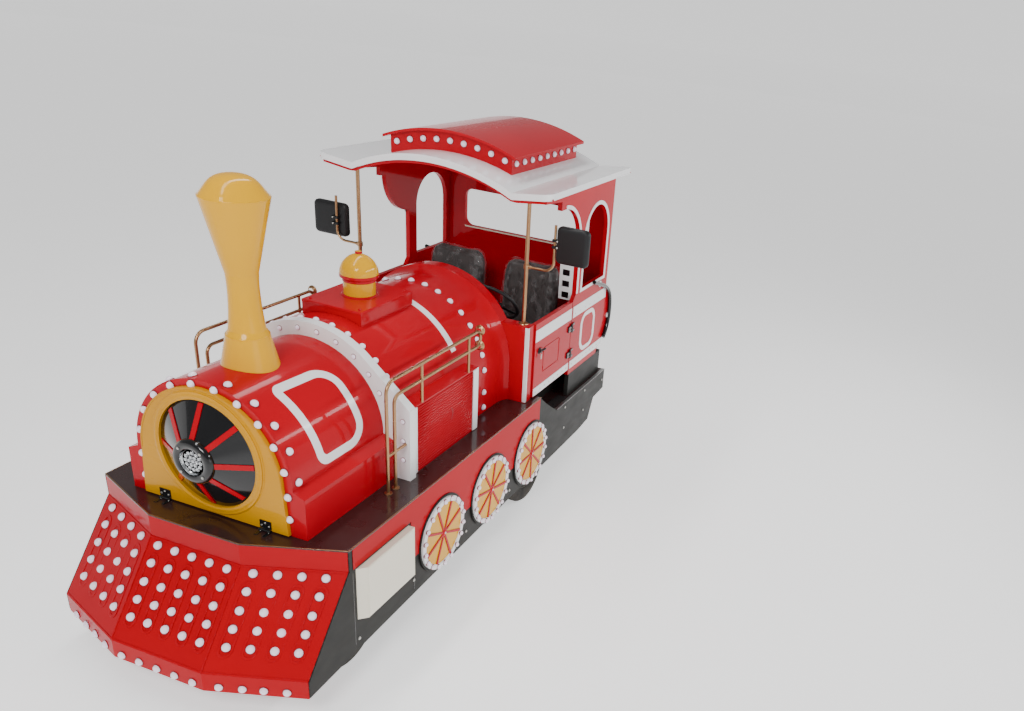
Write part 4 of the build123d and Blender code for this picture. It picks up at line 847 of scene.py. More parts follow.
def dress_louvers():
    """Fine horizontal louvres between two white uprights, with a crescent finger pull in the door, drawn as
    a dark red raised crescent that paints the shade of its recess.
    """
    front_x, rear_x, face_y = 0.657, 0.077, louver_hi.y
    low, high, count = deck_z + 0.008, louver_hi.z - 0.012, 24
    pitch = (high - low) / count
    wave = [(0.0, 0.0), (0.30, 0.0010), (0.50, 0.0062), (0.72, 0.0085), (0.90, 0.0065), (0.98, 0.0004)]
    for side, hand in SIDES:
        bm = bmesh.new()
        columns = [rear_x + 0.004, rear_x + 0.012, rear_x + 0.16, front_x - 0.16, front_x - 0.012,
                   front_x - 0.004]
        fade = [0.1, 1.0, 0.42, 0.42, 1.0, 0.1]
        rows = []
        for k in range(count):
            rows += [[Vector((x, side * (face_y + 0.0006 + f * lift), low + (k + t) * pitch))
                      for x, f in zip(columns, fade)] for t, lift in wave]
        grid(bm, rows)
        make_piece("louvre_panel_" + hand, bm, [RED], smooth=25)
        bm = bmesh.new()
        for x0, x1 in ((louver_lo.x + 0.004, rear_x), (front_x, louver_hi.x - 0.001)):
            teeth = [(x1 if x0 < 0.3 else x0, low - 0.004 + k * pitch / 2) for k in range(2 * count + 2)]
            bite = 0.004 if x0 < 0.3 else -0.004
            jag = [(x + (bite if k % 2 else 0.0), z) for k, (x, z) in enumerate(teeth)]
            plain = (x0 if x0 < 0.3 else x1)
            outline = [(plain, deck_z + 0.003), *jag, (plain, louver_hi.z - 0.002)]
            slab(bm, outline, flat_y(side, face_y), 0.0, 0.0065)
        make_piece("louvre_white_uprights_" + hand, bm, [WHITE])
        # Dark red crescent standing proud of the door: painted shade where the finger pull's recess is.
        bm = bmesh.new()
        turns = [math.radians(a) for a in range(-70, 71, 10)]
        outer = [(0.335 - 0.042 * math.cos(t), 1.005 + 0.042 * math.sin(t)) for t in turns]
        inner = [(0.335 - 0.034 * math.cos(t) + 0.002, 1.005 + 0.038 * math.sin(t))
                 for t in reversed(turns)]
        slab(bm, outer + inner, flat_y(side, face_y), 0.0, 0.0035)
        make_piece("finger_pull_" + hand, bm, [SOCKET_AND_SHADE])
        bm = bmesh.new()
        edge = [(louver_lo.x, louver_hi.z - 0.001), (louver_hi.x, louver_hi.z - 0.001)]
        strip(bm, edge, 0.005, flat_y(side, face_y), 0.003, closed=False)
        for x in (louver_lo.x + 0.10, 0.36, 0.62):
            lathe(bm, [(0.007, 0), (0.007, 0.002), (0, 0.004)],
                  Vector((x, side * (face_y - 0.02), louver_hi.z)), Z, 12)
        make_piece("louvre_box_edges_" + hand, bm, [RED])


def dress_stack_and_bell():
    """Seams on the chimney, red bands and knob on the bell, and the lid of the box it stands on."""
    lo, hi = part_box("chimney")
    middle = Vector(((lo.x + hi.x) / 2, 0, 0))
    bm = bmesh.new()
    rim = (hi.x - lo.x) / 2
    lathe(bm, [(rim - 0.004, hi.z - 0.101), (rim, hi.z - 0.098), (rim, hi.z - 0.092),
               (rim - 0.006, hi.z - 0.088)],
          middle, Z, 64)
    neck, height = 0.0965, boiler_z + front_r + 0.135
    lathe(bm, [(neck - 0.003, height - 0.005), (neck, height - 0.002), (neck, height + 0.002),
               (neck - 0.003, height + 0.005)], middle, Z, 48)
    make_piece("chimney_seams", bm, [YELLOW], smooth=60)
    lo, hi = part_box("bell")
    middle = Vector(((lo.x + hi.x) / 2, 0, 0))
    cap = (hi.x - lo.x) / 2
    bm = bmesh.new()
    drum = cap - 0.017
    lathe(bm, [(drum, lo.z + 0.080), (drum + 0.004, lo.z + 0.082), (drum + 0.004, lo.z + 0.0945),
               (cap + 0.0015, lo.z + 0.104),
               (cap + 0.0015, lo.z + 0.119), (cap - 0.002, lo.z + 0.121)], middle, Z, 48)
    lathe(bm, [(drum, lo.z), (drum + 0.012, lo.z), (drum + 0.012, lo.z + 0.005),
               (drum + 0.005, lo.z + 0.010),
               (drum, lo.z + 0.010)], middle, Z, 48)
    lathe(bm, [(0.0175, hi.z - 0.012), (0.0185, hi.z - 0.006), (0.0175, hi.z - 0.0005), (0.0, hi.z)],
          middle, Z, 24)
    make_piece("bell_red_bands", bm, [RED])
    bm = bmesh.new()
    corner = rounded_loop([(saddle_lo.x, -saddle_hi.y), (saddle_hi.x, -saddle_hi.y),
                           (saddle_hi.x, saddle_hi.y),
                           (saddle_lo.x, saddle_hi.y)], [0.004] * 4, 0.2)
    slab(bm, offset_loop(corner, 0.003, True), flat_z(saddle_hi.z), -0.012, 0.003, ease=0.003)
    for x in (saddle_lo.x + 0.03, saddle_hi.x - 0.03):
        for y in (-0.15, 0.15):
            lathe(bm, [(0.008, 0), (0.008, 0.003), (0.005, 0.006), (0, 0.006)],
                  Vector((x, y, saddle_hi.z + 0.003)), Z, 6)
    make_piece("bell_plinth_lid", bm, [RED])


def dress_smokebox_door():
    """Yellow ring, headlamp rim, bolts and reflector, and the leaves' screws, which ride on the door."""
    face = door_plate_hi.x
    middle = Vector((0, 0, lamp_z))
    bm = bmesh.new()
    width = [(0.2655, face - 0.012), (0.2665, face - 0.003), (0.272, face + 0.001), (0.281, face + 0.0025),
             (0.290, face + 0.0005), (0.299, face - 0.004), (0.3065, face - 0.0098)]
    lathe(bm, width, middle, X, 96)
    make_piece("door_ring_bead", bm, [DOOR_YELLOW], "smokebox_door", smooth=60)
    bm = bmesh.new()
    tip = lamp_hi.x
    lathe(bm, [(0.066, tip - 0.012), (0.066, tip + 0.004), (0.072, tip + 0.008), (0.094, tip + 0.008),
               (0.102, tip + 0.002),
               (0.108, tip - 0.006), (0.108, tip - 0.018), (0.104, tip - 0.018)], middle, X, 64)
    make_piece("headlamp_bezel", bm, [GLOSS_BLACK], "smokebox_door", smooth=50)
    bm = bmesh.new()
    for k in range(4):
        turn = math.radians(45 + 90 * k)
        at = middle + Vector((tip + 0.008, 0.083 * math.cos(turn), 0.083 * math.sin(turn)))
        lathe(bm, [(0.007, -0.002), (0.007, 0.003), (0.004, 0.004), (0.0, 0.004)], at, X, 6, 0)
    make_piece("headlamp_bolts", bm, [SCREW], "smokebox_door")
    bm = bmesh.new()
    lathe(bm, [(0.0, tip - 0.010), (0.060, tip - 0.010), (0.064, tip - 0.004), (0.0655, tip + 0.002)],
          middle, X, 32)
    cells = [(0.0, 0.0)] + [(r * math.cos(2 * math.pi * k / n), r * math.sin(2 * math.pi * k / n))
                            for r, n in ((0.021, 6), (0.041, 12)) for k in range(n)]
    for y, z in cells:
        at = middle + Vector((tip - 0.010, y, z))
        lathe(bm, [(0.0098, 0.0), (0.0098, 0.004), (0.0075, 0.0015), (0.003, 0.0005), (0.003, 0.003),
                   (0.0, 0.004)],
              at, X, 10)
    make_piece("headlamp_reflector", bm, [LENS], "smokebox_door", replaces=("headlamp_lens",),
               smooth=30)
    bm = bmesh.new()
    for y in (0.285, -0.285):
        for dy, z in ((-0.02, deck_z + 0.030), (0.02, deck_z + 0.030), (0.0, deck_z + 0.044)):
            lathe(bm, [(0.0055, 0), (0.0055, 0.002), (0.003, 0.0035), (0, 0.0035)],
                  Vector((door_plate_hi.x - 0.010 + 0.004, y + dy, z)), X, 10)
    make_piece("door_hinge_screws", bm, [SCREW], "smokebox_door")
    bm = bmesh.new()
    for y in (0.285, -0.285):
        for dy in (-0.023, 0.023):
            for dx in (0.006, 0.020):
                lathe(bm, [(0.0045, 0), (0.0045, 0.0015), (0, 0.003)],
                      Vector((1.450 + dx, y + dy, deck_z + 0.003)), Z, 10)
    make_piece("deck_hinge_screws", bm, [SCREW])
    bm = bmesh.new()
    plate_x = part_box("smokebox_door")[0].x + 0.018
    door_r = door_plate_hi.z - boiler_z - 0.010
    crown = [(door_r * math.sin(math.radians(a)) * 0.985,
              boiler_z + 0.010 + door_r * math.cos(math.radians(a)) * 0.985)
             for a in range(-90, 91, 4)]
    strip(bm, crown, 0.006, flat_x(plate_x), 0.0015, closed=False)
    make_piece("door_pressed_edge", bm, [DOOR_YELLOW], "smokebox_door", smooth=60)


# ---- cab ----------------------------------------------------------------------------
post_x, post_front, sill_z = -1.130, -0.500, 1.361
window_x, window_z, window_r = -1.420, 1.700, 0.200
hinge_x, hinge_zs = -1.086, (0.926, 1.115)
band_screw = [(0.0055, -0.001), (0.0055, 0.0012), (0.0035, 0.0028), (0, 0.0028)]


def arch(middle, height, radius, low, high, steps=12):
    """Points of an arc in a side face, from one angle above the horizontal to another, in degrees."""
    turns = [math.radians(low + (high - low) * k / steps) for k in range(steps + 1)]
    return [(middle + radius * math.cos(t), height + radius * math.sin(t)) for t in turns]


def dress_cab_sides():
    """White trims round window and doorway, white bands over the rear panel, ring plate and screws."""
    for side, hand in SIDES:
        face = flat_y(side, cab_y)
        bm = bmesh.new()
        rear, front, trim = window_x - window_r, window_x + window_r, 0.026
        window = [(rear, sill_z), *arch(window_x, window_z, window_r, 180, 0, 20), (front, sill_z)]
        strip(bm, offset_loop(window, -trim / 2, False), trim, face, 0.0025, closed=False, across=3)
        ledge = [(rear - trim, sill_z - 0.011), (front + trim, sill_z - 0.011)]
        strip(bm, ledge, 0.022, face, 0.0022, closed=False)
        jamb = [(post_x - 0.012, 1.345), (post_x - 0.012, 1.66)]
        if side > 0:
            jamb += arch(-0.86, 1.685, 0.282, 172, 92, 14)
        else:
            jamb += arch(post_x, 1.955, 0.258, 272, 358, 14)
        strip(bm, jamb, 0.024, face, 0.003, closed=False, across=3)
        make_piece("window_and_door_trim_" + hand, bm, [WHITE], smooth=60)
        bm = bmesh.new()
        for low, high in ((1.178, 1.258), (0.805, 0.862)):
            outline = [(-1.700, low), (-1.106, low), (-1.106, high), (-1.700, high)]
            slab(bm, outline, face, 0.0, 0.0025, 0, 0.001)
        for k in range(9):
            at = Vector((-1.14 - 0.065 * k, side * (cab_y + 0.0025), 0.833))
            lathe(bm, band_screw, at, Y * side, 10, 1)
        for k in range(7):
            at = Vector((-1.14 - 0.085 * k, side * (cab_y + 0.0025), 1.205))
            lathe(bm, [(0.0045, -0.001), (0.0045, 0.001), (0, 0.0022)], at, Y * side, 10, 1)
        make_piece("side_panel_bands_" + hand, bm, [WHITE, SCREW])
        bm = bmesh.new()
        ring = rounded_loop([(-1.500, 0.892), (-1.270, 0.892), (-1.270, 1.150), (-1.500, 1.150)],
                            [0.075] * 4)
        strip(bm, ring, 0.030, face, 0.003, across=3)
        make_piece("oblong_ring_plate_" + hand, bm, [WHITE], smooth=60)
        bm = bmesh.new()
        for x, z in ((-1.565, 1.312), (-1.772, 1.02)):
            at = Vector((x, side * (cab_y + 0.002), z))
            lathe(bm, [(0.024, -0.002), (0.024, 0.004), (0.015, 0.010), (0.0, 0.010)], at, Y * side, 20)
        make_piece("guard_clamps_" + hand, bm, [BRIGHT])
        bm = bmesh.new()
        hook = [Vector((post_x + 0.004, side * (cab_y + d), z))
                for d, z in ((0.0, 1.705), (0.012, 1.706), (0.017, 1.714), (0.016, 1.728))]
        tube(bm, hook, 0.0035, 8)
        make_piece("post_hook_" + hand, bm, [SCREW])
        if side > 0:
            bm = bmesh.new()
            block(bm, (post_x - 0.006, 0.532, 1.290), (post_x + 0.004, 0.629, 1.690), 0, 0.002)
            for k in range(5):
                z = 1.305 + 0.0765 * k
                block(bm, (post_x + 0.002, 0.556, z), (post_x + 0.0065, 0.606, z + 0.040), 1, 0.001)
            make_piece("chequered_jamb", bm, [WHITE, GLOSS_BLACK])
        bm = bmesh.new()
        side_block(bm, side, (-0.4425, -0.4375), (0.628, 0.6525), (0.800, 1.298), 0, 0.002)
        side_block(bm, side, (-0.452, -0.4375), (0.6495, 0.6525), (0.800, 1.298), 0, 0.001)
        make_piece("front_corner_strip_" + hand, bm, [WHITE])


def dress_doors():
    """White bands, outline, handle and hinge screws on the half doors; each rides on its door."""
    for side, hand in SIDES:
        face = flat_y(side, cab_y)
        front, rear = -0.530, -1.079
        bm = bmesh.new()
        for low, high in ((1.178, 1.258), (0.808, 0.862)):
            slab(bm, [(rear, low), (front, low), (front, high), (rear, high)], face, 0.0, 0.0025, 0, 0.001)
        for k in range(8):
            at = Vector((-0.56 - 0.069 * k, side * (cab_y + 0.0025), 0.833))
            lathe(bm, band_screw, at, Y * side, 10, 1)
        make_piece("door_bands_" + hand, bm, [WHITE, SCREW], "door_" + hand)
        bm = bmesh.new()
        loop = rounded_loop([(-0.900, 0.940), (-0.660, 0.940), (-0.660, 1.105), (-0.900, 1.105)],
                            [0.006] * 4, 0.03)
        strip(bm, loop, 0.005, face, 0.0025)
        make_piece("door_outline_" + hand, bm, [RED], "door_" + hand)
        bm = bmesh.new()
        at = Vector((-0.590, side * (cab_y + 0.001), 1.108))
        lathe(bm, [(0.020, 0), (0.020, 0.004), (0.013, 0.007), (0.011, 0.016), (0.0, 0.017)], at, Y * side,
              24, 0)
        grip = [at + Y * side * 0.013 + X * (-0.004 - 0.018 * k) + Y * side * (0.002 * (k == 3))
                for k in range(4)]
        tube(bm, grip, 0.0065, 10, 0)
        key = at + Y * side * 0.016 + Z * -0.012
        turns = [2 * math.pi * k / 12 for k in range(12)]
        ring = [key + Vector((math.cos(t) * 0.010, 0, math.sin(t) * 0.010)) for t in turns]
        tube(bm, ring, 0.0010, 6, 1, closed=True)
        for lean in (-0.004, 0.005):
            side_block(bm, side, (key.x + lean - 0.005, key.x + lean + 0.004),
                       (cab_y + 0.0165, cab_y + 0.0180),
                       (key.z - 0.040, key.z - 0.008), 1, 0.0005)
        make_piece("door_handle_" + hand, bm, [PLASTIC, SCREW], "door_" + hand)
        bm = bmesh.new()
        for z in hinge_zs:
            for dx in (0.022, 0.040):
                for dz in (-0.011, 0.011):
                    spot = Vector((hinge_x + dx, side * (cab_y + 0.0092), z + dz))
                    lathe(bm, [(0.0042, 0), (0.0042, 0.002), (0, 0.0032)], spot, Y * side, 10)
        make_piece("hinge_screws_" + hand, bm, [SCREW], "door_" + hand)
        bm = bmesh.new()
        for z in hinge_zs:
            lathe(bm, [(0.0, -0.0150), (0.0092, -0.0150), (0.0092, 0.0150), (0.0, 0.0150)],
                  Vector((hinge_x, side * 0.668, z)), Z, 16)
            side_block(bm, side, (-1.078, -1.034), (cab_y + 0.0002, cab_y + 0.0095), (z - 0.020, z + 0.020),
                       0, 0.0008)
        make_piece("black_hinge_leaves_" + hand, bm, [GLOSS_BLACK], "door_" + hand)


def make_lantern(under):
    """Lantern box standing on the roof's arch, its thin arched lid, and the rows of bulbs under the lid."""
    overhang, sheet, roof_sheet = 0.035, 0.016, 0.0375
    half, lid_half = lantern_hi.y - overhang, lantern_hi.y
    crown, edge = lantern_hi.z, lantern_hi.z - 0.088
    radius = ((crown - edge) ** 2 + lid_half ** 2) / (2 * (crown - edge))

    def lid(y):
        return crown - radius + math.sqrt(radius ** 2 - y * y)

    rear, front = lantern_lo.x + overhang, lantern_hi.x - overhang
    ys = [half * k / 16 for k in range(-16, 17)]
    bm = bmesh.new()
    for x in (rear, front):
        grid(bm, [[Vector((x, y, under(y) + roof_sheet)) for y in ys],
                  [Vector((x, y, lid(y) - sheet)) for y in ys]])
    for y in (-half, half):
        grid(bm, [[Vector((x, y, z)) for x in (rear, front)]
                  for z in (under(y) + roof_sheet, lid(y) - sheet)])
    wide = [lid_half * k / 20 for k in range(-20, 21)]
    top = [Vector((0, y, lid(y))) for y in wide]
    low = [Vector((0, y, lid(y) - sheet)) for y in wide]
    section = top + low[::-1]
    for row in grid(bm, [[p + X * x for p in section] for x in (lantern_lo.x, lantern_hi.x)], 0, True):
        bm.faces.new(row)
    make_piece("lantern_box_and_lid", bm, [RED], replaces=("roof_lantern",), smooth=40)
    spots = []
    for side in (1, -1):
        for k in range(9):
            x = rear + 0.05 + (front - rear - 0.10) * k / 8
            z = (under(half) + roof_sheet + lid(half) - sheet) / 2 + 0.008
            spots.append((Vector((x, side * half, z)), Y * side))
    for facing, x in ((1, front), (-1, rear)):
        for k in range(9):
            y = (k - 4) * (half - 0.045) / 4
            spots.append((Vector((x, y, (under(y) + roof_sheet + lid(y) - sheet) / 2 + 0.008)), X * facing))
    bulb_piece("lantern_bulbs", spots, big_bulb)


def dress_roof():
    """Red line along the roof's edges, red board under its front edge, and the lantern."""
    bm = bmesh.new()
    for side in (1, -1):
        side_block(bm, side, (roof_lo.x + 0.03, roof_hi.x - 0.03), (roof_hi.y - 0.004, roof_hi.y - 0.001),
                   (2.094, 2.104), 0, 0.001)
    make_piece("roof_edge_trim", bm, [RED])
    bm = bmesh.new()
    front = roof_hi.x - 0.016
    half, rise, foot_z = 0.530, 0.120, 2.065
    radius = (rise ** 2 + half ** 2) / (2 * rise)

    def under(y):
        if abs(y) > half:
            return foot_z + (abs(y) - half) * 0.030 / 0.245
        return 2.185 - radius + math.sqrt(radius ** 2 - y * y)

    ys = [0.74 * k / 20 for k in range(-20, 21)]
    section = ((front - 0.008, 0.001), (front - 0.008, 0.018), (front, 0.018), (front, 0.001))
    grid(bm, [[Vector((x, y, under(y) - drop)) for y in ys] for x, drop in section])
    make_piece("roof_front_fascia", bm, [RED], smooth=50)
    make_lantern(under)


def make_mirrors():
    """Soft-cornered black heads with glass on the driver's side, and the clamps that hold them."""
    bm = bmesh.new()
    sets = ((1, 0.760, -0.500, 0.772, 0.975, 1.720, 1.940), (-1, 0.750, -0.530, 0.690, 0.935, 1.590, 1.800))
    for side, arm_y, x, y0, y1, z0, z1 in sets:
        corners = [(y0, z0), (y1, z0), (y1, z1), (y0, z1)]
        loop = rounded_loop(corners, [0.030] * 4, 0.016)
        depths = ((-0.0178, -0.010), (-0.0178, 0.0), (0.002, 0.0), (0.012, -0.005), (0.0165, -0.013),
                  (0.018, -0.026))
        verts = grid(bm, [[Vector((x + depth, side * u, v)) for u, v in offset_loop(loop, grow, True)]
                          for depth, grow in depths], 0, True)
        bm.faces.new(verts[-1])
        glass = [bm.verts.new(Vector((x - 0.0150, side * u, v)))
                 for u, v in offset_loop(loop, -0.011, True)]
        for k in range(len(glass)):
            after = (k + 1) % len(glass)
            bm.faces.new((verts[0][k], verts[0][after], glass[after], glass[k]))
        bm.faces.new(glass).material_index = 1
        middle = (z0 + z1) / 2
        for z in (middle - 0.026, middle + 0.012):
            side_block(bm, side, (post_front - 0.014, post_front + 0.014), (arm_y - 0.014, arm_y + 0.034),
                       (z, z + 0.016), 0, 0.003)
            lathe(bm, [(0.006, 0), (0.006, 0.004), (0.003, 0.006), (0, 0.006)],
                  Vector((post_front + 0.014, side * (arm_y + 0.020), z + 0.008)), X, 6, 2)
    make_piece("mirror_heads", bm, [PLASTIC, MIRROR, SCREW], replaces=("mirrors",),
               smooth=50)


def dress_posts():
    """Clamps and flanges of the front posts and their mirror arms, and of the boiler handrails."""
    bm = bmesh.new()
    for side, z in ((1, 1.660), (-1, 1.575)):
        at = Vector((post_front, side * 0.584, z))
        lathe(bm, [(0.0125, -0.014), (0.0175, -0.013), (0.0175, 0.013), (0.0125, 0.014)], at, Z, 24, 0)
        lathe(bm, [(0.011, 0.0), (0.011, 0.020), (0.0085, 0.022)], at + Y * side * 0.008, Y * side, 16, 0)
        lathe(bm, [(0.0125, 0.010), (0.030, 0.004), (0.032, 0.0)],
              Vector((post_front, side * 0.584, dash_z)), Z, 24, 0)
    make_piece("post_clamps", bm, [BRASS])
    bm = bmesh.new()
    for side in (1, -1):
        for z in (1.400, 1.310):
            lathe(bm, [(0.030, 0.0), (0.030, 0.004), (0.019, 0.010), (0.0165, 0.018)],
                  Vector((0.003, side * 0.560, z)), X, 24, 0)
    make_piece("handrail_flanges", bm, [BRASS])


def make_steering_wheel():
    """Round gripped rim, three flat spokes and a domed horn button."""
    turn = math.radians(40)
    axis = Vector((-math.cos(turn), 0, math.sin(turn)))
    middle = Vector((-0.640, 0.290, 1.330)) + axis * 0.011
    across, up = frame_of(axis)
    bm = bmesh.new()
    turns = [2 * math.pi * k / 64 for k in range(64)]
    loop = [middle + (across * math.cos(t) + up * math.sin(t)) * 0.169 for t in turns]
    tube(bm, loop, 0.011, 14, 0, closed=True)
    lathe(bm, [(0.026, -0.040), (0.026, -0.012), (0.040, -0.006), (0.042, 0.004), (0.034, 0.011),
               (0.018, 0.014), (0, 0.015)],
          middle, axis, 32, 0)
    for k in range(3):
        t = 2 * math.pi * k / 3 + math.pi / 6
        along = across * math.cos(t) + up * math.sin(t)
        beside = axis.cross(along)
        def place(u, v, h, along=along, beside=beside):
            return middle + along * u + beside * v + axis * h
        slab(bm, [(0.030, -0.017), (0.164, -0.010), (0.164, 0.010), (0.030, 0.017)], place, -0.006, 0.0, 1,
             0.001)
    make_piece("steering_wheel_rim", bm, [PLASTIC, GLOSS_BLACK], "steering_wheel",
               ("steering_wheel",), 50)


def make_tyres():
    """Tyres with a rounded shoulder and a grooved tread, and the rim nuts; they turn with their wheels."""
    for end, x in (("front", 1.280), ("rear", -0.600)):
        for side, hand in SIDES:
            y = 0.520 if end == "front" else 0.560
            middle = Vector((x, side * y, 0.245))
            half, blocks, inner, outer = 0.065, 56, 0.150, 0.245
            bm = bmesh.new()
            section = [(inner, -half + 0.006), (inner + 0.014, -half), (outer - 0.032, -half),
                       (outer - 0.012, -half + 0.007),
                       (outer - 0.002, -half + 0.020)]
            grooves = [(outer, -0.040), (outer, -0.026), (outer - 0.007, -0.025), (outer - 0.007, -0.019),
                       (outer, -0.018),
                       (outer, -0.003), (outer - 0.007, -0.002), (outer - 0.007, 0.002), (outer, 0.003),
                       (outer, 0.018),
                       (outer - 0.007, 0.019), (outer - 0.007, 0.025), (outer, 0.026), (outer, 0.040)]
            section += grooves + [(r, -h) for r, h in section[::-1]]
            lathe(bm, section + [(inner, -half + 0.006)], middle, Y, 2 * blocks, 0)
            make_piece(f"{end}_tyre_tread_{hand}", bm, [RUBBER], f"wheel_{end}_{hand}",
                       (f"tyre_{end}_{hand}",), 30)
            bm = bmesh.new()
            for k in range(5):
                t = 2 * math.pi * k / 5
                spot = middle + Vector((math.cos(t) * 0.062, side * 0.012, math.sin(t) * 0.062))
                lathe(bm, [(0.012, -0.004), (0.012, 0.010), (0.007, 0.014), (0, 0.014)], spot, Y * side, 6,
                      0)
            make_piece(f"{end}_wheel_nuts_{hand}", bm, [SCREW], f"wheel_{end}_{hand}")


# ---- seats --------------------------------------------------------------------------
def solid_shell(name, rows):
    """Closed body from rings of points, capped at both ends."""
    bm = bmesh.new()
    verts = grid(bm, rows, 0, True)
    bm.faces.new(verts[0][::-1])
    bm.faces.new(verts[-1])
    bmesh.ops.recalc_face_normals(bm, faces=bm.faces)
    mesh = bpy.data.meshes.new(name)
    bm.to_mesh(mesh)
    bm.free()
    piece = bpy.data.objects.new(name, mesh)
    bpy.context.scene.collection.objects.link(piece)
    return piece


def apply_modifiers(piece):
    """Make the piece's modifiers part of its mesh."""
    ready = piece.evaluated_get(bpy.context.evaluated_depsgraph_get())
    mesh = bpy.data.meshes.new_from_object(ready)
    piece.modifiers.clear()
    piece.data = mesh


def puff(piece, voxel, pressure, cap):
    """Let a seat body fill out under pressure, hold it to a small movement, and smooth it."""
    remesh = piece.modifiers.new("even_mesh", "REMESH")
    remesh.mode, remesh.voxel_size = "VOXEL", voxel
    apply_modifiers(piece)
    start = [v.co.copy() for v in piece.data.vertices]
    cloth = piece.modifiers.new("fill_out", "CLOTH")
    cloth.settings.use_pressure = True
    cloth.settings.uniform_pressure_force = pressure
    cloth.settings.effector_weights.gravity = 0.0
    cloth.settings.quality = 5
    cloth.settings.mass = 0.3
    cloth.point_cache.frame_start, cloth.point_cache.frame_end = 1, 20
    scene = bpy.context.scene
    for step in range(1, 21):
        scene.frame_set(step)
    apply_modifiers(piece)
    scene.frame_set(1)
    for v, home in zip(piece.data.vertices, start):
        move = v.co - home
        if move.length > cap:
            v.co = home + move * (cap / move.length)
    smooth = piece.modifiers.new("soften", "SMOOTH")
    smooth.factor, smooth.iterations = 0.5, 6
    apply_modifiers(piece)
    piece.data.shade_smooth()


def seat_rings(middle_y, stations):
    """Rings of a seat body: each station gives its centre (x, z), tilt, half width, thickness and crown."""
    rings = []
    for x, z, tilt, half, thick, bolster in stations:
        t = math.radians(tilt)
        along, up = Vector((math.cos(t), 0, math.sin(t))), Vector((-math.sin(t), 0, math.cos(t)))
        centre = Vector((x, middle_y, z))
        ring = []
        shape = [(-1.0, 0.0), (-0.98, 0.55), (-0.88, 0.98), (-0.70, 0.94), (-0.52, 0.62), (-0.25, 0.52),
                 (0.0, 0.50),
                 (0.25, 0.52), (0.52, 0.62), (0.70, 0.94), (0.88, 0.98), (0.98, 0.55), (1.0, 0.0),
                 (0.96, -0.45),
                 (0.80, -0.60), (0.4, -0.60), (0.0, -0.60), (-0.4, -0.60), (-0.80, -0.60), (-0.96, -0.45)]
        for u, v in shape:
            lift = v * thick if v <= 0.5 else thick * 0.5 + (v - 0.5) * thick * bolster
            ring.append(centre + Y * (u * half) + up * lift)
        rings.append(ring)
    return rings


def make_seats():
    """Bucket seats: one moulded body each, filled out by a cloth step, in a loose clear wrap."""
    for side, hand in SIDES:
        y = side * 0.290
        stations = [
            (-0.772, 1.012, -8, 0.176, 0.060, 0.7), (-0.800, 1.018, -4, 0.196, 0.078, 1.0),
            (-0.880, 1.022, 2, 0.201, 0.080, 1.2),
            (-0.980, 1.016, 5, 0.200, 0.080, 1.5), (-1.075, 1.012, 20, 0.196, 0.084, 1.6),
            (-1.132, 1.040, 52, 0.194, 0.088, 1.6),
            (-1.160, 1.110, 77, 0.196, 0.084, 1.6), (-1.174, 1.200, 80, 0.198, 0.080, 1.6),
            (-1.190, 1.300, 81, 0.200, 0.072, 1.4),
            (-1.206, 1.390, 82, 0.198, 0.064, 1.2), (-1.216, 1.445, 84, 0.184, 0.052, 1.0),
            (-1.222, 1.472, 86, 0.150, 0.034, 0.6),
        ]
        body = solid_shell("bucket_seat_" + hand, seat_rings(y, stations))
        puff(body, 0.0055, 4.0, 0.008)
        body.data.materials.append(VINYL)
        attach(body, "root")
        if side > 0:
            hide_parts("seats")
        wrap = solid_shell("seat_wrap_" + hand, seat_rings(y, [
            (x, z + 0.004, tilt, half + 0.012, thick + 0.014, bolster)
            for x, z, tilt, half, thick, bolster in stations]))
        remesh = wrap.modifiers.new("even_mesh", "REMESH")
        remesh.mode, remesh.voxel_size = "VOXEL", 0.007
        apply_modifiers(wrap)
        folds = bpy.data.textures.new("wrap_folds_" + hand, "CLOUDS")
        folds.noise_scale, folds.noise_depth = 0.055, 2
        crumple = wrap.modifiers.new("crumple", "DISPLACE")
        crumple.texture, crumple.strength, crumple.mid_level = folds, 0.016, 0.62
        smooth = wrap.modifiers.new("soften", "SMOOTH")
        smooth.factor, smooth.iterations = 0.5, 3
        apply_modifiers(wrap)
        wrap.data.shade_smooth()
        wrap.data.materials.append(FILM_WRAP)
        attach(wrap, "root")
        bm = bmesh.new()
        for dy in (-0.15, 0.15):
            low, high = sorted((y + dy - 0.012, y + dy + 0.012))
            block(bm, (-1.08, low, 0.9605), (-0.84, high, 0.986), 0, 0.002)
        make_piece("seat_runners_" + hand, bm, [CHASSIS])


def dress_rear():
    """Light trim round the rear window and along its foot, and two rows of screws."""
    bm = bmesh.new()
    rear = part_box("cab_rear_wall")[0].x
    loop = rounded_loop([(-0.510, 1.500), (0.510, 1.500), (0.510, 1.790), (-0.510, 1.790)], [0.02] * 4,
                        0.05)
    strip(bm, loop, 0.020, flat_x(rear, -1), 0.002)
    strip(bm, [(-0.500, 1.502), (0.500, 1.502)], 0.010, flat_x(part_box("cab_rear_wall")[1].x), 0.003,
          closed=False)
    make_piece("rear_window_trim", bm, [CREAM])
    bm = bmesh.new()
    for z in (1.44, 0.86):
        for k in range(9):
            at = Vector((rear, -0.56 + 0.14 * k, z))
            lathe(bm, [(0.006, 0), (0.006, 0.002), (0, 0.0035)], at, -X, 10, 0)
    make_piece("rear_wall_screws", bm, [SCREW])


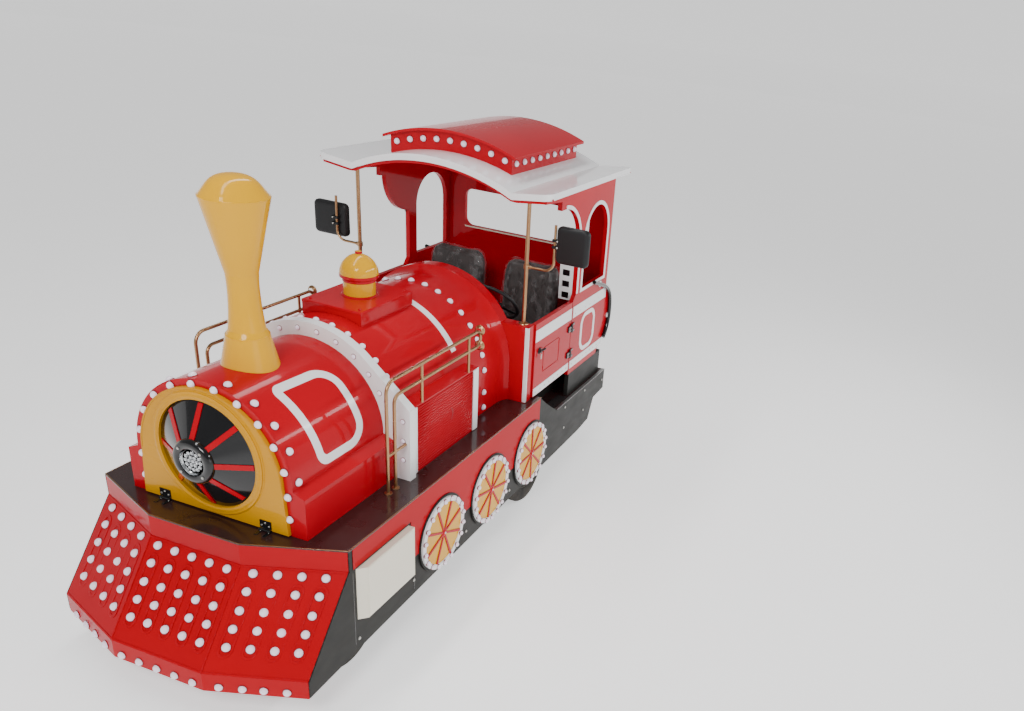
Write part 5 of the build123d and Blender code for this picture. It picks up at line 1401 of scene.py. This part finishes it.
# ---- finishes of the frame's own pieces ---------------------------------------------
NODE_FINISHES = (
    (RED_LOW, ("cowcatcher", "valances")),
    (RED, ("front_barrel", "rear_barrel", "louver_boxes", "bell_plinth", "cab_front_wall", "cab_sides",
           "cab_rear_wall",
           "roof_lantern", "door_left", "door_right", "grille_bars")),
    (WHITE, ("white_hoop", "cab_roof")),
    (YELLOW, ("chimney", "bell")),
    (DOOR_YELLOW, ("smokebox_door",)),
    (DECK, ("running_deck", "cab_floor")),
    (BLACK, ("cowcatcher_cheeks", "side_skirts", "lower_panels", "seat_base", "dummy_wheel_backs")),
    (GLOSS_BLACK, ("grille_cone", "rear_guards", "headlight", "smokebox_hinge_leaves",
                   "fixed_hinge_halves")),
    (CREAM, ("light_panels",)),
    (BRASS, ("handrails", "cab_posts")),
    (CHASSIS, ("frame_rails", "frame_cross_members", "bearers", "bearer_posts", "tow_hitch",
               "front_axle_beam",
               "rear_axle", "knuckle_left", "knuckle_right", "battery_pack", "steering_column",
               "rim_front_left", "rim_front_right", "rim_rear_left", "rim_rear_right")),
)


def finish_nodes():
    """Give every piece of the frame its finish, and ease its edges where they show."""
    eased = ("cowcatcher", "valances", "louver_boxes", "bell_plinth", "cab_front_wall", "cab_sides",
             "running_deck",
             "roof_lantern", "door_left", "door_right", "white_hoop", "cab_roof", "light_panels",
             "side_skirts")
    for material, names in NODE_FINISHES:
        for name in names:
            node = bpy.data.objects[name]
            node.data.materials.clear()
            node.data.materials.append(material)
            if name in eased:
                bevel = node.modifiers.new("eased_edges", "BEVEL")
                bevel.width, bevel.segments, bevel.limit_method = 0.0012, 2, "ANGLE"
                bevel.angle_limit = math.radians(40)


# ---- build --------------------------------------------------------------------------
set_camera()
set_light()
lay_floor()
finish_nodes()
set_foot_back()
dress_cowcatcher()
dress_deck()
dress_skirts()
dress_dummy_wheels()
dress_barrel()
dress_louvers()
dress_stack_and_bell()
dress_smokebox_door()
dress_cab_sides()
dress_doors()
dress_roof()
make_mirrors()
dress_posts()
make_steering_wheel()
make_tyres()
make_seats()
dress_rear()
